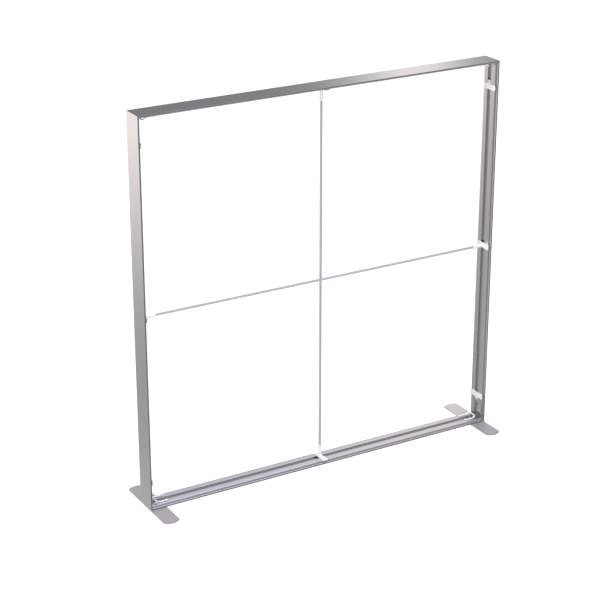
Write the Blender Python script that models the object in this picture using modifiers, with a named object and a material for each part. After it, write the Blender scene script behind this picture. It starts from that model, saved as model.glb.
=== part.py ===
"""Bare lightbox display wall: a square frame of mitred profiles on two flat feet.

Metres, +Z up. The origin is on the floor below the middle of the frame, and the front looks along -Y.
The four profiles share one section. Two round bars cross the opening, each held by a clip and a sleeve
at either end. Lift-up bails lie over the channel at the corners of the top and bottom rails.
"""

import math

import bmesh
import bpy
from mathutils import Matrix, Vector

# Overall sizes
FRAME_WIDTH = 2.0
FRAME_HEIGHT = 2.0
FRAME_DEPTH = 0.120
SEAT_GAP = 0.0003
CUT_OVERRUN = 0.002

# Section of the profiles
LIP_DEPTH = 0.012
LIP_HEIGHT = 0.008
EDGE_WALL = 0.0022
FABRIC_SLOT_WIDTH = 0.0035
FABRIC_SLOT_DEPTH = 0.010
LEDGE_HEIGHT = 0.0155
NOSE_DEPTH = 0.010
CHANNEL_WIDTH = 0.028
CHANNEL_FLOOR = 0.003
CHANNEL_EDGE_RADIUS = 0.0008
CHAMBER_WALL = 0.0018
CHAMBER_SETBACK = 0.0085
FLOOR_RIB_COUNT = 6
FLOOR_RIB_WIDTH = 0.0014
FLOOR_RIB_HEIGHT = 0.0010
MITRE_GAP = 0.0004

# Corner braces, one in the front and one in the back chamber of every corner
BRACE_LEG = 0.118
BRACE_CLEARANCE = 0.0003
BRACE_SCREW_FROM_CORNER = 0.038
BRACE_SCREW_OFFSET = 0.024
BRACE_SCREW_DIAMETER = 0.006
BRACE_SCREW_LENGTH = 0.0085
BRACE_SCREW_SOCKET = 0.003
BRACE_SCREW_SOCKET_DEPTH = 0.0025
BRACE_SCREW_SINK = 0.0003
SCREW_CLEARANCE = 0.0003

# Corner bails and the studs that carry them
BAIL_WIRE = 0.0062
BAIL_ARM_OFFSET = 0.029
BAIL_PIVOT_FROM_CORNER = 0.103
BAIL_BEND_FROM_CORNER = 0.056
BAIL_END_FROM_CORNER = 0.041
BAIL_END_RISE = 0.011
BAIL_BEND_RADIUS = 0.007
BAIL_END_RADIUS = 0.010
BAIL_EYE_DIAMETER = 0.0070
BAIL_EYE_WIDTH = 0.0068
BAIL_JOURNAL_DIAMETER = 0.003
BAIL_JOURNAL_CLEARANCE = 0.0003
STUD_THICKNESS = 0.0040
STUD_SHANK_DIAMETER = 0.0034
STUD_SHANK_DEPTH = 0.008

# Clips over the channel
CLIP_FROM_END = 0.143
CLIP_WIDTH = 0.028
CLIP_THICKNESS = 0.004
CLIP_FRONT_OVERHANG = 0.004
CLIP_BACK_SETBACK = 0.011
CLIP_CORNER_RADIUS = 0.002
CLIP_BLOCK_LENGTH = 0.018
CLIP_BLOCK_RISE = 0.0012
CLIP_BLOCK_INSET = 0.0006
CLIP_RIM = 0.005
CLIP_RECESS = 0.0008
CLIP_LEG_THICKNESS = 0.002
CLIP_LEG_DEPTH = 0.004
CLIP_LEG_LENGTH = 0.022
CLIP_TONGUE_LENGTH = 0.020
CLIP_TONGUE_ROOT = 0.026
CLIP_TONGUE_TIP = 0.016
CLIP_TONGUE_THICKNESS = 0.003
CLIP_TONGUE_DIP = 0.0045

# Support bars and their sleeves
BAR_DIAMETER = 0.013
CROSSBAR_ABOVE_MIDDLE = 0.0035
BAR_CROSSING_GAP = 0.0005
BAR_INSERTION = 0.048
SLEEVE_LENGTH = 0.062
SLEEVE_DIAMETER = 0.0185
SLEEVE_BOSS_DIAMETER = 0.024
SLEEVE_BOSS_HEIGHT = 0.006
SLEEVE_BOSS_TAPER = 0.004
SLEEVE_RIM_CHAMFER = 0.001
SPIGOT_LENGTH = 0.008

# Feet
FOOT_LENGTH = 0.436
FOOT_WIDTH = 0.086
FOOT_THICKNESS = 0.005
FOOT_END_BULGE = 0.019
FOOT_EDGE_BEVEL = 0.0006
BRACKET_WIDTH = 0.0274
BRACKET_THICKNESS = 0.006
BRACKET_UPRIGHT = 0.158
BRACKET_TOE = 0.050
FOOT_SCREW_FROM_SIDE = 0.024
FOOT_SCREW_PITCH = 0.019
FOOT_SCREW_DIAMETER = 0.005
FOOT_SCREW_HEAD = 0.0095
FOOT_SCREW_HEAD_HEIGHT = 0.004
FOOT_SCREW_SOCKET = 0.0045
FOOT_SCREW_SOCKET_DEPTH = 0.002
FOOT_SCREW_END_SINK = 0.0005

# Lock bolts through the sides of the posts, countersunk below the outer face
LOCK_HEIGHT = 0.081
LOCK_SINK_DIAMETER = 0.018
LOCK_SINK_DEPTH = 0.0027
LOCK_HEAD_SINK = 0.0009
LOCK_SOCKET = 0.0092
LOCK_SOCKET_DEPTH = 0.0025
LOCK_SHANK_DIAMETER = 0.012
LOCK_GRIP = 0.003

# Facets of round pieces
ARC_STEPS = 4
NOSE_STEPS = 7
BEND_STEPS = 5
ROUND_STEPS = 24
SMALL_ROUND_STEPS = 16

# Places that follow from the sizes above
FRAME_BASE = FOOT_THICKNESS + SEAT_GAP
HALF_DEPTH = FRAME_DEPTH / 2
LEDGE_EDGE = HALF_DEPTH - LIP_DEPTH
CHAMBER_EDGE = LEDGE_EDGE - CHAMBER_SETBACK
CHANNEL_EDGE = CHANNEL_WIDTH / 2
CLIP_SEAT = LEDGE_HEIGHT + SEAT_GAP
CLIP_TOP = CLIP_SEAT + CLIP_THICKNESS
CLIP_FRONT = -LEDGE_EDGE - CLIP_FRONT_OVERHANG
CLIP_BACK = LEDGE_EDGE - CLIP_BACK_SETBACK
BAIL_AXIS_HEIGHT = LEDGE_HEIGHT + SEAT_GAP + BAIL_EYE_DIAMETER / 2
STUD_OFFSET = BAIL_ARM_OFFSET - BAIL_EYE_WIDTH / 2 - SEAT_GAP - STUD_THICKNESS / 2
BRACE_BOTTOM = EDGE_WALL + BRACE_CLEARANCE
BRACE_TOP = LEDGE_HEIGHT - CHAMBER_WALL - BRACE_CLEARANCE
BRACKET_SEAT = CHANNEL_FLOOR + FLOOR_RIB_HEIGHT + SEAT_GAP
BAR_OFFSET = (BAR_DIAMETER + BAR_CROSSING_GAP) / 2
SLEEVE_SEAT = CLIP_TOP + SEAT_GAP
SLEEVE_MOUTH = SLEEVE_SEAT + SLEEVE_LENGTH

# Walking round the frame clockwise from the bottom left corner, each side has its own axes:
# x from front to back, y along the side, z from the outer face into the opening
SIDES = {
    "left": (Vector((-FRAME_WIDTH / 2, 0, FRAME_BASE)), Vector((1, 0, 0)), FRAME_HEIGHT),
    "top": (Vector((-FRAME_WIDTH / 2, 0, FRAME_BASE + FRAME_HEIGHT)), Vector((0, 0, -1)), FRAME_WIDTH),
    "right": (Vector((FRAME_WIDTH / 2, 0, FRAME_BASE + FRAME_HEIGHT)), Vector((-1, 0, 0)), FRAME_HEIGHT),
    "bottom": (Vector((FRAME_WIDTH / 2, 0, FRAME_BASE)), Vector((0, 0, 1)), FRAME_WIDTH),
}


# The front and the back ledge
ROWS = {"front": -1, "back": 1}


def side_matrix(side):
    """Axes of one side of the frame as a placing matrix."""
    corner, inward, _ = SIDES[side]
    depth_axis = Vector((0, 1, 0))
    along_axis = inward.cross(depth_axis)
    turn = Matrix((depth_axis, along_axis, inward)).transposed().to_4x4()
    return Matrix.Translation(corner) @ turn


def side_length(side):
    return SIDES[side][2]


def clear_scene():
    for item in list(bpy.data.objects):
        bpy.data.objects.remove(item, do_unlink=True)


def new_collection(name):
    collection = bpy.data.collections.new(name)
    bpy.context.scene.collection.children.link(collection)
    return collection


clear_scene()
PARTS = new_collection("lightbox_display_wall")
CUTTERS = new_collection("cutters")


def new_material(name, colour, roughness, metallic):
    material = bpy.data.materials.new(name)
    material.use_nodes = True
    shader = material.node_tree.nodes["Principled BSDF"]
    shader.inputs["Base Color"].default_value = (*colour, 1.0)
    shader.inputs["Roughness"].default_value = roughness
    shader.inputs["Metallic"].default_value = metallic
    material.diffuse_color = (*colour, 1.0)
    return material


ALUMINIUM = new_material("satin_aluminium", (0.66, 0.65, 0.65), 0.40, 1.0)
BAR_METAL = new_material("drawn_bar", (0.60, 0.60, 0.61), 0.35, 1.0)
FOOT_METAL = new_material("coated_foot_plate", (0.52, 0.50, 0.50), 0.55, 0.5)
WHITE_PLASTIC = new_material("white_plastic", (0.88, 0.88, 0.88), 0.45, 0.0)
BRACE_METAL = new_material("cast_brace", (0.48, 0.48, 0.48), 0.60, 1.0)
SCREW_STEEL = new_material("zinc_screw", (0.45, 0.45, 0.46), 0.35, 1.0)


def arc(centre_x, centre_y, radius, start, end, steps=ARC_STEPS, rise=None):
    """Points of an arc, angles in degrees; a rise unlike the radius makes it part of an ellipse."""
    height = radius if rise is None else rise
    points = []
    for step in range(steps + 1):
        angle = math.radians(start + (end - start) * step / steps)
        points.append((centre_x + radius * math.cos(angle), centre_y + height * math.sin(angle)))
    return points


def mesh_object(name, mesh, material, collection=None):
    item = bpy.data.objects.new(name, mesh)
    mesh.materials.clear()
    mesh.materials.append(material)
    (collection or PARTS).objects.link(item)
    return item


def baked_mesh(item):
    """Mesh of an object as its modifiers leave it; the object itself is removed."""
    bpy.context.view_layer.update()
    graph = bpy.context.evaluated_depsgraph_get()
    mesh = bpy.data.meshes.new_from_object(item.evaluated_get(graph))
    shape = bmesh.new()
    shape.from_mesh(mesh)
    bmesh.ops.remove_doubles(shape, verts=shape.verts, dist=SEAT_GAP / 100)
    shape.to_mesh(mesh)
    shape.free()
    mesh.name = item.name
    bpy.data.objects.remove(item, do_unlink=True)
    return mesh


def slab_mesh(name, loops, thickness):
    """Flat outline, with holes where more than one loop is given, centred on its own plane."""
    curve = bpy.data.curves.new(name, "CURVE")
    curve.dimensions = "2D"
    curve.fill_mode = "BOTH"
    curve.extrude = thickness / 2
    for loop in loops:
        spline = curve.splines.new("POLY")
        spline.points.add(len(loop) - 1)
        for point, (x, y) in zip(spline.points, loop):
            point.co = (x, y, 0, 1)
        spline.use_cyclic_u = True
    item = bpy.data.objects.new(name, curve)
    PARTS.objects.link(item)
    return baked_mesh(item)


def box_mesh(name, low, high):
    """Box between two corners."""
    shape = bmesh.new()
    bmesh.ops.create_cube(shape, size=1.0)
    size = Vector(high) - Vector(low)
    middle = (Vector(high) + Vector(low)) / 2
    bmesh.ops.scale(shape, vec=size, verts=shape.verts)
    bmesh.ops.translate(shape, vec=middle, verts=shape.verts)
    mesh = bpy.data.meshes.new(name)
    shape.to_mesh(mesh)
    shape.free()
    return mesh


def cylinder_mesh(name, diameter, bottom, top, steps=ROUND_STEPS, top_diameter=None):
    """Round bar or cone along z."""
    shape = bmesh.new()
    upper = diameter if top_diameter is None else top_diameter
    bmesh.ops.create_cone(
        shape, cap_ends=True, segments=steps, radius1=diameter / 2, radius2=upper / 2, depth=top - bottom
    )
    bmesh.ops.translate(shape, vec=(0, 0, (top + bottom) / 2), verts=shape.verts)
    mesh = bpy.data.meshes.new(name)
    shape.to_mesh(mesh)
    shape.free()
    return mesh


def moved(mesh, matrix):
    mesh.transform(matrix)
    return mesh


def mirrored(mesh):
    """Copy of a mesh turned over along y."""
    copy = mesh.copy()
    copy.transform(Matrix.Scale(-1, 4, (0, 1, 0)))
    copy.flip_normals()
    return copy


def smooth(mesh, degrees=35):
    mesh.shade_smooth()
    mesh.set_sharp_from_angle(angle=math.radians(degrees))
    return mesh


def make_cutter(name, mesh, matrix=None):
    cutter = bpy.data.objects.new(name, mesh)
    CUTTERS.objects.link(cutter)
    cutter.hide_render = True
    cutter.display_type = "WIRE"
    if matrix is not None:
        cutter.matrix_world = matrix
    return cutter


def add_boolean(item, tool, operation):
    modifier = item.modifiers.new(tool.name, "BOOLEAN")
    modifier.operation = operation
    modifier.object = tool


def combined_mesh(name, base, joined=(), removed=()):
    """One body made of a base mesh, with meshes united to it and others cut out of it."""
    item = bpy.data.objects.new(name, base)
    PARTS.objects.link(item)
    tools = []
    for number, mesh in enumerate(joined):
        tools.append(make_cutter(f"{name}_add_{number}", mesh))
        add_boolean(item, tools[-1], "UNION")
    for number, mesh in enumerate(removed):
        tools.append(make_cutter(f"{name}_cut_{number}", mesh))
        add_boolean(item, tools[-1], "DIFFERENCE")
    result = baked_mesh(item)
    for tool in tools:
        bpy.data.objects.remove(tool, do_unlink=True)
    return result


def place(item, side, along=0.0, depth=0.0, height=0.0, turn=0.0):
    """Put an object on one side of the frame, in that side's own axes."""
    where = Matrix.Translation((depth, along, height)) @ Matrix.Rotation(turn, 4, "Z")
    item.matrix_world = side_matrix(side) @ where
    return item


# Profiles of the frame

def section_outline():
    """Outer outline of the section: x from front to back, y from the outer face inwards."""
    points = []
    pitch = CHANNEL_WIDTH / FLOOR_RIB_COUNT
    rib_top = CHANNEL_FLOOR + FLOOR_RIB_HEIGHT
    for rib in range(FLOOR_RIB_COUNT):
        middle = -CHANNEL_EDGE + (rib + 0.5) * pitch
        left = middle - FLOOR_RIB_WIDTH / 2
        right = middle + FLOOR_RIB_WIDTH / 2
        points += [(left, CHANNEL_FLOOR), (left, rib_top), (right, rib_top), (right, CHANNEL_FLOOR)]
    half = [(CHANNEL_EDGE, CHANNEL_FLOOR)]
    inner = CHANNEL_EDGE_RADIUS
    half += arc(CHANNEL_EDGE + inner, LEDGE_HEIGHT - inner, inner, 180, 90, 3)
    nose_rise = LEDGE_HEIGHT - LIP_HEIGHT
    half += arc(LEDGE_EDGE - NOSE_DEPTH, LIP_HEIGHT, NOSE_DEPTH, 90, 0, NOSE_STEPS, nose_rise)
    slot_top = EDGE_WALL + FABRIC_SLOT_WIDTH
    slot_end = HALF_DEPTH - FABRIC_SLOT_DEPTH
    half += [(HALF_DEPTH, LIP_HEIGHT), (HALF_DEPTH, slot_top)]
    half += [(slot_end, slot_top), (slot_end, EDGE_WALL), (HALF_DEPTH, EDGE_WALL), (HALF_DEPTH, 0)]
    points += half
    points += [(-x, y) for x, y in reversed(half)]
    return points


def chamber_outline(sign):
    """Hollow under one ledge, where the corner brace slides in."""
    near = CHANNEL_EDGE + CHAMBER_WALL
    far = CHAMBER_EDGE
    low = EDGE_WALL
    high = LEDGE_HEIGHT - CHAMBER_WALL
    return [(sign * near, low), (sign * far, low), (sign * far, high), (sign * near, high)]


def profile_mesh(name, length):
    """Profile along z with both ends mitred."""
    loops = [section_outline(), chamber_outline(-1), chamber_outline(1)]
    mesh = slab_mesh(name, loops, length)
    for vertex in mesh.vertices:
        vertex.co.z -= math.copysign(vertex.co.y, vertex.co.z)
    # From the section's axes to the axes of a side: the length runs along y
    return moved(mesh, Matrix(((1, 0, 0, 0), (0, 0, -1, 0), (0, 1, 0, 0), (0, 0, 0, 1))))


def build_profile(name, side, clearance):
    length = side_length(side)
    mesh = smooth(profile_mesh(name, length - 2 * clearance), 40)
    item = mesh_object(name, mesh, ALUMINIUM)
    return place(item, side, along=length / 2)


def hole_in(item, name, side, diameter, along, depth, low, high, steps=SMALL_ROUND_STEPS):
    """Round hole square to the outer face of a side."""
    mesh = cylinder_mesh(name, diameter, low, high, steps)
    where = side_matrix(side) @ Matrix.Translation((depth, along, 0))
    add_boolean(item, make_cutter(name, mesh, where), "DIFFERENCE")


def end_places(side, distance):
    """The two places along a side that lie a distance from its corners."""
    return {"start": distance, "end": side_length(side) - distance}


def drill_ledges(item, side, distance, offset, diameter, label):
    """Holes through the upper wall of both ledges, near both ends."""
    low = BRACE_TOP
    high = LEDGE_HEIGHT + CUT_OVERRUN
    for end, along in end_places(side, distance).items():
        for row, sign in ROWS.items():
            name = f"{label}_{side}_{end}_{row}"
            hole_in(item, name, side, diameter, along, sign * offset, low, high)


def foot_screw_places():
    """Distances of the foot screws from the outer side face."""
    return [FOOT_SCREW_FROM_SIDE, FOOT_SCREW_FROM_SIDE + FOOT_SCREW_PITCH]


def build_profiles():
    for side, name in (("left", "left_post"), ("right", "right_post")):
        post = build_profile(name, side, 0.0)
        drill_ledges(
            post, side, BRACE_SCREW_FROM_CORNER, BRACE_SCREW_OFFSET,
            BRACE_SCREW_DIAMETER + 2 * SCREW_CLEARANCE, "brace_screw_hole",
        )
        along = LOCK_HEIGHT if side == "left" else FRAME_HEIGHT - LOCK_HEIGHT
        hole_in(
            post, f"lock_hole_{side}", side, LOCK_SHANK_DIAMETER + 2 * SCREW_CLEARANCE, along, 0.0,
            LOCK_SINK_DEPTH / 2, CHANNEL_FLOOR + CUT_OVERRUN, ROUND_STEPS,
        )
        where = side_matrix(side) @ Matrix.Translation((0, along, 0))
        sink = make_cutter(f"lock_sink_{side}", lock_cone("lock_sink", 0.0, -CUT_OVERRUN), where)
        add_boolean(post, sink, "DIFFERENCE")
    for side, name in (("top", "top_rail"), ("bottom", "bottom_rail")):
        rail = build_profile(name, side, MITRE_GAP)
        drill_ledges(
            rail, side, BAIL_PIVOT_FROM_CORNER, STUD_OFFSET, STUD_SHANK_DIAMETER + 2 * SCREW_CLEARANCE,
            "stud_hole",
        )
    for number, distance in enumerate(foot_screw_places(), 1):
        for end, along in end_places("bottom", distance).items():
            hole_in(
                rail, f"foot_screw_hole_{end}_{number}", "bottom",
                FOOT_SCREW_DIAMETER + 2 * SCREW_CLEARANCE, along, 0.0,
                -CUT_OVERRUN, CHANNEL_FLOOR + CUT_OVERRUN,
            )


# Corners: braces, screws, hinges and bails

CORNERS = {
    "top_left": ("top", "start", "left", "end"),
    "top_right": ("top", "end", "right", "start"),
    "bottom_left": ("bottom", "end", "left", "start"),
    "bottom_right": ("bottom", "start", "right", "end"),
}


def from_corner(side, end, distance):
    return end_places(side, distance)[end]


def along_sign(end):
    """Direction along a side that leads away from the corner."""
    return 1 if end == "start" else -1


def brace_mesh(name, end, row_sign):
    """L-shaped brace in the rail's axes: one leg lies in the rail and the other rises into the post."""
    thickness = BRACE_TOP - BRACE_BOTTOM
    low = BRACE_BOTTOM
    outline = [
        (low, low), (BRACE_LEG, low), (BRACE_LEG, low + thickness), (low + thickness, low + thickness),
        (low + thickness, BRACE_LEG), (low, BRACE_LEG),
    ]
    near = CHANNEL_EDGE + CHAMBER_WALL + BRACE_CLEARANCE
    far = CHAMBER_EDGE - BRACE_CLEARANCE
    flat = slab_mesh(name, [outline], far - near)
    middle = row_sign * (near + far) / 2
    sign = along_sign(end)
    # Outline x becomes the way along the rail, outline y the way inwards, and the thickness the depth
    if sign > 0:
        turn = Matrix(((0, 0, 1, middle), (1, 0, 0, 0), (0, 1, 0, 0), (0, 0, 0, 1)))
    else:
        turn = Matrix(((0, 0, -1, middle), (-1, 0, 0, 0), (0, 1, 0, 0), (0, 0, 0, 1)))
    body = moved(flat, turn)
    shank = cylinder_mesh(
        f"{name}_stud_hole", STUD_SHANK_DIAMETER + 2 * SCREW_CLEARANCE,
        LEDGE_HEIGHT - STUD_SHANK_DEPTH - SEAT_GAP, LEDGE_HEIGHT + CUT_OVERRUN, SMALL_ROUND_STEPS,
    )
    moved(shank, Matrix.Translation((row_sign * STUD_OFFSET, sign * BAIL_PIVOT_FROM_CORNER, 0)))
    screw = cylinder_mesh(
        f"{name}_screw_hole", BRACE_SCREW_DIAMETER + 2 * SCREW_CLEARANCE,
        LEDGE_HEIGHT - BRACE_SCREW_SINK - BRACE_SCREW_LENGTH - SEAT_GAP, LEDGE_HEIGHT + CUT_OVERRUN,
        SMALL_ROUND_STEPS,
    )
    tilt = Matrix.Rotation(-sign * math.pi / 2, 4, "X")
    where = Matrix.Translation((row_sign * BRACE_SCREW_OFFSET, 0, BRACE_SCREW_FROM_CORNER))
    moved(screw, where @ tilt)
    return combined_mesh(name, body, removed=[shank, screw])


def build_braces():
    meshes = {}
    for corner, (rail, end, _, _) in CORNERS.items():
        for row, sign in ROWS.items():
            if (end, row) not in meshes:
                meshes[end, row] = brace_mesh(f"brace_{end}_{row}", end, sign)
            item = mesh_object(f"corner_brace_{corner}_{row}", meshes[end, row], BRACE_METAL)
            place(item, rail, along=from_corner(rail, end, 0.0))


def brace_screw_mesh():
    """Headless screw with a hexagon socket, just below the ledge."""
    top = LEDGE_HEIGHT - BRACE_SCREW_SINK
    shank = cylinder_mesh("shank", BRACE_SCREW_DIAMETER, top - BRACE_SCREW_LENGTH, top, SMALL_ROUND_STEPS)
    socket = cylinder_mesh(
        "socket", BRACE_SCREW_SOCKET, top - BRACE_SCREW_SOCKET_DEPTH, top + CUT_OVERRUN, 6
    )
    return smooth(combined_mesh("brace_screw", shank, removed=[socket]))


def build_brace_screws():
    screw = brace_screw_mesh()
    for corner, (_, _, post, end) in CORNERS.items():
        for row, sign in ROWS.items():
            item = mesh_object(f"brace_screw_{corner}_{row}", screw, SCREW_STEEL)
            along = from_corner(post, end, BRACE_SCREW_FROM_CORNER)
            place(item, post, along=along, depth=sign * BRACE_SCREW_OFFSET)


def bail_hinge_mesh():
    """Ear on a shank: the shank stands in the brace, and the ear's journal reaches +x through the bail."""
    half = BAIL_EYE_DIAMETER / 2
    low = CLIP_SEAT
    axis = BAIL_AXIS_HEIGHT
    outline = [(-half, low), (half, low), (half, axis)]
    outline += arc(0, axis, half, 0, 180, 8)[1:]
    ear = slab_mesh("ear", [outline], STUD_THICKNESS)
    moved(ear, Matrix(((0, 0, 1, 0), (1, 0, 0, 0), (0, 1, 0, 0), (0, 0, 0, 1))))
    shank = cylinder_mesh(
        "shank", STUD_SHANK_DIAMETER, LEDGE_HEIGHT - STUD_SHANK_DEPTH, low + SEAT_GAP, SMALL_ROUND_STEPS
    )
    reach = BAIL_ARM_OFFSET + BAIL_EYE_WIDTH / 2 - STUD_OFFSET
    journal = cylinder_mesh("journal", BAIL_JOURNAL_DIAMETER, 0.0, reach, SMALL_ROUND_STEPS)
    moved(journal, Matrix.Translation((0, 0, axis)) @ Matrix.Rotation(math.pi / 2, 4, "Y"))
    return smooth(combined_mesh("bail_hinge", ear, joined=[shank, journal]))


def build_bail_hinges():
    hinge = bail_hinge_mesh()
    for corner, (rail, end, _, _) in CORNERS.items():
        for row, sign in ROWS.items():
            item = mesh_object(f"bail_hinge_{corner}_{row}", hinge, WHITE_PLASTIC)
            along = from_corner(rail, end, BAIL_PIVOT_FROM_CORNER)
            turn = 0.0 if sign > 0 else math.pi
            place(item, rail, along=along, depth=sign * STUD_OFFSET, turn=turn)


def rounded_path(corners, radii):
    """Polyline through the corners, each inner corner replaced by a smooth bend."""
    points = [Vector(corners[0])]
    for number in range(1, len(corners) - 1):
        corner = Vector(corners[number])
        back = (Vector(corners[number - 1]) - corner).normalized() * radii[number - 1]
        ahead = (Vector(corners[number + 1]) - corner).normalized() * radii[number - 1]
        for step in range(BEND_STEPS + 1):
            share = step / BEND_STEPS
            start = corner + back * (1 - share)
            finish = corner + ahead * share
            points.append(start.lerp(finish, share))
    points.append(Vector(corners[-1]))
    return points


def bail_mesh(name, sign):
    """Bent wire in axes at its pivot: two arms on the ledges and a raised closed end."""
    bend = -sign * (BAIL_PIVOT_FROM_CORNER - BAIL_BEND_FROM_CORNER)
    closed = -sign * (BAIL_PIVOT_FROM_CORNER - BAIL_END_FROM_CORNER)
    arm = BAIL_ARM_OFFSET
    corners = [
        (-arm, 0, 0), (-arm, bend, 0), (-arm, closed, BAIL_END_RISE),
        (arm, closed, BAIL_END_RISE), (arm, bend, 0), (arm, 0, 0),
    ]
    radii = [BAIL_BEND_RADIUS, BAIL_END_RADIUS, BAIL_END_RADIUS, BAIL_BEND_RADIUS]
    path = rounded_path(corners, radii)
    curve = bpy.data.curves.new(name, "CURVE")
    curve.dimensions = "3D"
    curve.bevel_depth = BAIL_WIRE / 2
    curve.bevel_resolution = 2
    curve.use_fill_caps = True
    spline = curve.splines.new("POLY")
    spline.points.add(len(path) - 1)
    for point, place_ in zip(spline.points, path):
        point.co = (*place_, 1)
    item = bpy.data.objects.new(name, curve)
    PARTS.objects.link(item)
    wire = baked_mesh(item)
    eyes = []
    bores = []
    for row in (-1, 1):
        where = Matrix.Translation((row * arm, 0, 0)) @ Matrix.Rotation(math.pi / 2, 4, "Y")
        half = BAIL_EYE_WIDTH / 2
        eyes.append(moved(cylinder_mesh("eye", BAIL_EYE_DIAMETER, -half, half, SMALL_ROUND_STEPS), where))
        bore = cylinder_mesh(
            "bore", BAIL_JOURNAL_DIAMETER + 2 * BAIL_JOURNAL_CLEARANCE, -half - CUT_OVERRUN,
            half + CUT_OVERRUN, SMALL_ROUND_STEPS,
        )
        bores.append(moved(bore, where))
    return combined_mesh(name, wire, joined=eyes, removed=bores)


def build_bails():
    meshes = {}
    for corner, (rail, end, _, _) in CORNERS.items():
        if end not in meshes:
            meshes[end] = smooth(bail_mesh(f"bail_{end}", along_sign(end)), 50)
        item = mesh_object(f"corner_bail_{corner}", meshes[end], WHITE_PLASTIC)
        along = from_corner(rail, end, BAIL_PIVOT_FROM_CORNER)
        place(item, rail, along=along, height=BAIL_AXIS_HEIGHT)


# Clips over the channel

def clip_outline():
    """Plate seen square on: x from front to back, y along the side."""
    half = CLIP_WIDTH / 2
    radius = CLIP_CORNER_RADIUS
    points = []
    points += arc(CLIP_FRONT + radius, -half + radius, radius, 180, 270, 3)
    points += arc(CLIP_BACK - radius, -half + radius, radius, 270, 360, 3)
    points += arc(CLIP_BACK - radius, half - radius, radius, 0, 90, 3)
    points += arc(CLIP_FRONT + radius, half - radius, radius, 90, 180, 3)
    return points


def tongue_mesh(name):
    """Tapered tongue that leads from the plate's edge down into the mouth of the channel."""
    start = CLIP_WIDTH / 2 - CUT_OVERRUN
    end = CLIP_WIDTH / 2 + CLIP_TONGUE_LENGTH
    root = CLIP_TONGUE_ROOT / 2
    tip = CLIP_TONGUE_TIP / 2
    outline = [(-root, start), (root, start), (tip, end), (-tip, end)]
    mesh = slab_mesh(name, [outline], CLIP_TONGUE_THICKNESS)
    for vertex in mesh.vertices:
        vertex.co.z += CLIP_SEAT + CLIP_THICKNESS / 2
        vertex.co.z -= CLIP_TONGUE_DIP * (vertex.co.y - start) / (end - start)
    return mesh


def clip_mesh(name, with_tongue=False, bar_depth=None):
    """Plate with a raised front block and rim, and two legs that grip the channel."""
    plate = slab_mesh(name, [clip_outline()], CLIP_THICKNESS)
    moved(plate, Matrix.Translation((0, 0, CLIP_SEAT + CLIP_THICKNESS / 2)))
    half = CLIP_WIDTH / 2
    block = box_mesh(
        f"{name}_block",
        (CLIP_FRONT + CLIP_BLOCK_INSET, -half + CLIP_BLOCK_INSET, CLIP_SEAT + CLIP_RECESS),
        (CLIP_FRONT + CLIP_BLOCK_LENGTH, half - CLIP_BLOCK_INSET, CLIP_TOP + CLIP_BLOCK_RISE),
    )
    recess = box_mesh(
        f"{name}_recess",
        (CLIP_FRONT + CLIP_BLOCK_LENGTH + CLIP_RIM, -half + CLIP_RIM, CLIP_TOP - CLIP_RECESS),
        (CLIP_BACK - CLIP_RIM, half - CLIP_RIM, CLIP_TOP + CUT_OVERRUN),
    )
    joined = [block]
    if with_tongue:
        joined.append(tongue_mesh(f"{name}_tongue"))
    wall = CHANNEL_EDGE - SEAT_GAP
    for sign in (-1, 1):
        near = sign * (wall - CLIP_LEG_THICKNESS)
        far = sign * wall
        low = (min(near, far), -CLIP_LEG_LENGTH / 2, CLIP_SEAT - CLIP_LEG_DEPTH)
        high = (max(near, far), CLIP_LEG_LENGTH / 2, CLIP_SEAT + CLIP_THICKNESS / 2)
        joined.append(box_mesh(f"{name}_leg_{sign}", low, high))
    body = combined_mesh(name, plate, joined=joined, removed=[recess])
    if bar_depth is None:
        return body
    seat = cylinder_mesh(
        f"{name}_seat", SLEEVE_BOSS_DIAMETER, CLIP_TOP - CLIP_THICKNESS / 2, CLIP_TOP
    )
    spigot = cylinder_mesh(
        f"{name}_spigot", BAR_DIAMETER, CLIP_TOP - CLIP_THICKNESS / 2, SLEEVE_SEAT + SPIGOT_LENGTH
    )
    where = Matrix.Translation((bar_depth, 0, 0))
    return combined_mesh(name, body, joined=[moved(seat, where), moved(spigot, where)])


def build_end_clips():
    """Clips whose tongues point to the nearer end of their post."""
    pointing_up = smooth(clip_mesh("end_clip", with_tongue=True), 30)
    meshes = {"end": pointing_up, "start": mirrored(pointing_up)}
    for side, ends in (("left", ("lower", "upper")), ("right", ("upper", "lower"))):
        for end, level in zip(("start", "end"), ends):
            item = mesh_object(f"end_clip_{side}_{level}", meshes[end], WHITE_PLASTIC)
            place(item, side, along=from_corner(side, end, CLIP_FROM_END))


# Each bar spans between two facing sides: depth, then each side with the place along it.
# The left side runs upwards and the right side downwards.
BARS = {
    "crossbar": (
        -BAR_OFFSET,
        (
            ("left", FRAME_HEIGHT / 2 + CROSSBAR_ABOVE_MIDDLE),
            ("right", FRAME_HEIGHT / 2 - CROSSBAR_ABOVE_MIDDLE),
        ),
    ),
    "upright_bar": (BAR_OFFSET, (("bottom", FRAME_WIDTH / 2), ("top", FRAME_WIDTH / 2))),
}


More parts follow.
